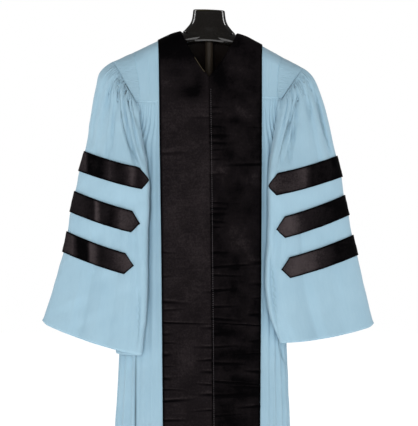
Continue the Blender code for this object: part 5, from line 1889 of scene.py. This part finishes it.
def dress_form():
    """The form's two shoulders, in rings from the left end to the right one."""
    rows = []
    last = 4 * FORM_SECTIONS - 4
    for step in range(last + 1):
        swing = -math.cos(math.pi * step / last)
        across = FORM_REACH * math.copysign(abs(swing) ** FORM_SPACING, swing)
        half_height = float(from_table(FORM_SHAPE, abs(across), "out", "half_height"))
        half_depth = float(from_table(FORM_SHAPE, abs(across), "out", "half_depth"))
        settled = FORM_SETTLED * min(1.0, max(0.0, (abs(across) - SETTLED_FROM) / SETTLED_REACH))
        height = form_top(across) - settled - half_height + half_height * np.cos(RING_TURNS)
        depth = half_depth * np.sin(RING_TURNS)
        rows.append(np.stack([np.full_like(depth, across), depth, height], axis=1))
    wings = surface("shoulder_form", np.array(rows), 0.0, looks["gloss"], closed=True)
    closed_ends(wings)
    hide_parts("stand_form")


def rounded_edge(radius, top, rounding, turns):
    """Places out and up along the rounded top edge of a turned part."""
    return [(radius - rounding * (1 - math.sin(turn)), top - rounding * (1 - math.cos(turn)))
            for turn in turns]


def dress_base():
    """The round base with the post's collar, turned from one outline."""
    mesh = bmesh.new()
    top = BASE_THICKNESS + COLLAR_HEIGHT
    profile = [(0.0, top), (COLLAR_RADIUS - COLLAR_EDGE, top)]
    profile += rounded_edge(COLLAR_RADIUS, top, COLLAR_EDGE, np.linspace(0.2, math.pi / 2, 5))
    profile += [(COLLAR_RADIUS, BASE_THICKNESS + COLLAR_FILLET)]
    profile += [(COLLAR_RADIUS + COLLAR_FILLET, BASE_THICKNESS)]
    profile += rounded_edge(BASE_RADIUS, BASE_THICKNESS, BASE_RIM, np.linspace(0.0, math.pi / 2, 7))
    profile += [(BASE_RADIUS, BASE_LOWER_EDGE), (BASE_RADIUS - BASE_LOWER_EDGE, 0.0), (0.0, 0.0)]
    points = [mesh.verts.new((out, 0.0, height)) for out, height in profile]
    edges = [mesh.edges.new(pair) for pair in zip(points, points[1:])]
    bmesh.ops.spin(mesh, geom=points + edges, cent=(0, 0, 0), axis=(0, 0, 1), angle=2 * math.pi,
                   steps=BASE_STEPS, use_merge=True)
    bmesh.ops.remove_doubles(mesh, verts=mesh.verts, dist=1e-6)
    bmesh.ops.recalc_face_normals(mesh, faces=mesh.faces)
    base = small_pieces("round_base", mesh, "steel")
    for face in base.data.polygons:
        face.use_smooth = True
    base.data.set_sharp_from_angle(angle=SHARP_ANGLE)
    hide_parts("stand_base")


def edge_cords(fronts):
    """The thin light blue piping along the velvet's outer edges."""
    for side in SIDES:
        grid = handed(fronts[side], side)
        column = COVERED_COLUMNS if side > 0 else -COVERED_COLUMNS - 1
        line = moved_out(grid, PIPING_OUT)[:, column]
        knots = lengths_along(line)
        line = flow(filled_in(knots, PIPING_STEP), knots, line)
        line[:, 0] += side * PIPING_BESIDE
        cord = tube(f"edge_piping_{SIDE_NAME[side]}", line, PIPING_RADIUS, looks["cloth"])


def neck_cord():
    """The thin cord along the lower half of the neck's left edge."""
    line = grids["facing_left"][:, -2]
    line = line[(line[:, 2] < NECK_CORD_TOP) & (line[:, 2] > NECK_CORD_END)]
    cord = tube("neck_cord", line + np.array(NECK_CORD_SHIFT), NECK_CORD_RADIUS, looks["neck_cord"])


def declare_sheets():
    """Prints the cut of each sheet of cloth."""
    for name, piece in made.items():
        if name.startswith("yoke_front") or name == "back_yoke":
            declared(piece, grids[name])
        elif name.startswith("front_"):
            declared(piece, grids[name])
        elif name == "back":
            declared(piece, grids[name])
        elif name.startswith("facing_") and name != "facing_neck":
            declared(piece, grids[name])
        elif name in ("facing_neck", "neck_lining"):
            declared(piece, grids[name])
        elif name.startswith("cap_"):
            declared(piece, grids[name])
        elif name.startswith("sleeve_"):
            declared(piece, grids[name])
        elif name.startswith("bar_"):
            declared(piece, grids[name])
        else:
            declared(piece, grids[name])


# How bright the room is on the object, in the polished form and behind the gown
ROOM_LIGHT = 0.29
MIRRORED_ROOM = 0.35
BACKDROP_LIGHT = 1.0

# Soft rectangles of light; only a mirrored one shows as a highlight in the polished form
AreaLight = namedtuple("AreaLight", "name place aim size energy mirrored")
AREA_LIGHTS = (
    AreaLight("key_softbox", (-2.0, -3.5, 2.3), (0.0, 0.0, 1.05), (1.0, 1.5), 7.0, False),
    AreaLight("front_softbox", (-0.3, -6.0, 1.5), (0.0, 0.0, 1.0), (1.6, 1.6), 102.0, False),
    AreaLight("back_softbox", (0.6, 6.0, 2.2), (0.0, 0.0, 1.0), (1.6, 1.6), 70.0, False),
    AreaLight("rim_left", (-2.7, 0.5, 2.3), (0.0, 0.0, 1.5), (0.35, 1.3), 14.0, True),
    AreaLight("rim_right", (2.7, 0.4, 2.3), (0.0, 0.0, 1.5), (0.35, 1.3), 14.0, True),
    AreaLight("top_softbox", (0.0, 0.6, 4.2), (0.0, 0.3, 0.0), (4.0, 4.0), 6.0, False),
)

# The camera looks level from far away; its picture is this high where the gown's front is
CAMERA_DISTANCE = 14.0
GOWN_FRONT = 0.04
VIEW_HEIGHT = 1.1289
VIEW_MIDDLE = 1.0103
FILM_HEIGHT = 24.0

# The floor lies just below the base
FLOOR_SIZE = 30.0
FLOOR_GAP = 0.0005


def studio():
    """A plain pale floor, soft light and the camera straight in front, through a long lens."""
    lay_floor()
    light_room()
    for light in AREA_LIGHTS:
        hang_light(light)
    place_camera()


def lay_floor():
    """The pale floor, which is stage and not part of the object."""
    mesh = bmesh.new()
    bmesh.ops.create_grid(mesh, x_segments=1, y_segments=1, size=FLOOR_SIZE)
    data = bpy.data.meshes.new("floor")
    mesh.to_mesh(data)
    mesh.free()
    data.materials.append(studio_floor("pale_floor"))
    floor = bpy.data.objects.new("floor", data)
    floor.location = (0.0, 0.0, -FLOOR_GAP)
    bpy.context.scene.collection.objects.link(floor)


def light_room():
    """A white room: white behind the gown, dimmer on it and dimmer still in its mirrored image."""
    world = bpy.data.worlds.new("white_room")
    world.use_nodes = True
    room = world.node_tree
    background = room.nodes["Background"]
    background.inputs["Color"].default_value = (1.0, 1.0, 1.0, 1.0)
    rays = room.nodes.new("ShaderNodeLightPath")
    both = room.nodes.new("ShaderNodeMath")
    both.operation = "MULTIPLY"
    levels = (("Is Camera Ray", ROOM_LIGHT, BACKDROP_LIGHT), ("Is Glossy Ray", 1.0, MIRRORED_ROOM))
    for socket, (ray, low, high) in zip(both.inputs, levels):
        level = room.nodes.new("ShaderNodeMapRange")
        level.inputs["To Min"].default_value = low
        level.inputs["To Max"].default_value = high
        room.links.new(rays.outputs[ray], level.inputs["Value"])
        room.links.new(level.outputs["Result"], socket)
    room.links.new(both.outputs[0], background.inputs["Strength"])
    bpy.context.scene.world = world
    bpy.context.scene.view_settings.view_transform = "Standard"


def hang_light(light):
    """One area light, turned towards its aim."""
    data = bpy.data.lights.new(light.name, "AREA")
    data.shape = "RECTANGLE"
    data.size, data.size_y = light.size
    data.energy = light.energy
    lamp = bpy.data.objects.new(light.name, data)
    lamp.location = light.place
    lamp.rotation_euler = (Vector(light.aim) - Vector(light.place)).to_track_quat("-Z", "Y").to_euler()
    lamp.visible_glossy = light.mirrored
    bpy.context.scene.collection.objects.link(lamp)


def place_camera():
    """The camera straight in front of the gown, as far away as its long lens needs."""
    data = bpy.data.cameras.new("camera")
    data.sensor_fit = "VERTICAL"
    data.sensor_height = FILM_HEIGHT
    data.lens = FILM_HEIGHT * (CAMERA_DISTANCE - GOWN_FRONT) / VIEW_HEIGHT
    data.clip_end = 60.0
    camera = bpy.data.objects.new("camera", data)
    camera.location = (0.0, -CAMERA_DISTANCE, VIEW_MIDDLE)
    camera.rotation_euler = (math.pi / 2, 0.0, 0.0)
    bpy.context.scene.collection.objects.link(camera)
    bpy.context.scene.camera = camera


fronts = dress_fronts()
yoke, back = dress_back()
dress_sleeves(fronts, yoke, back)
dress_panels(fronts)
dress_zip()
sew()
edge_cords(fronts)
neck_cord()
dress_stand()
declare_sheets()
studio()
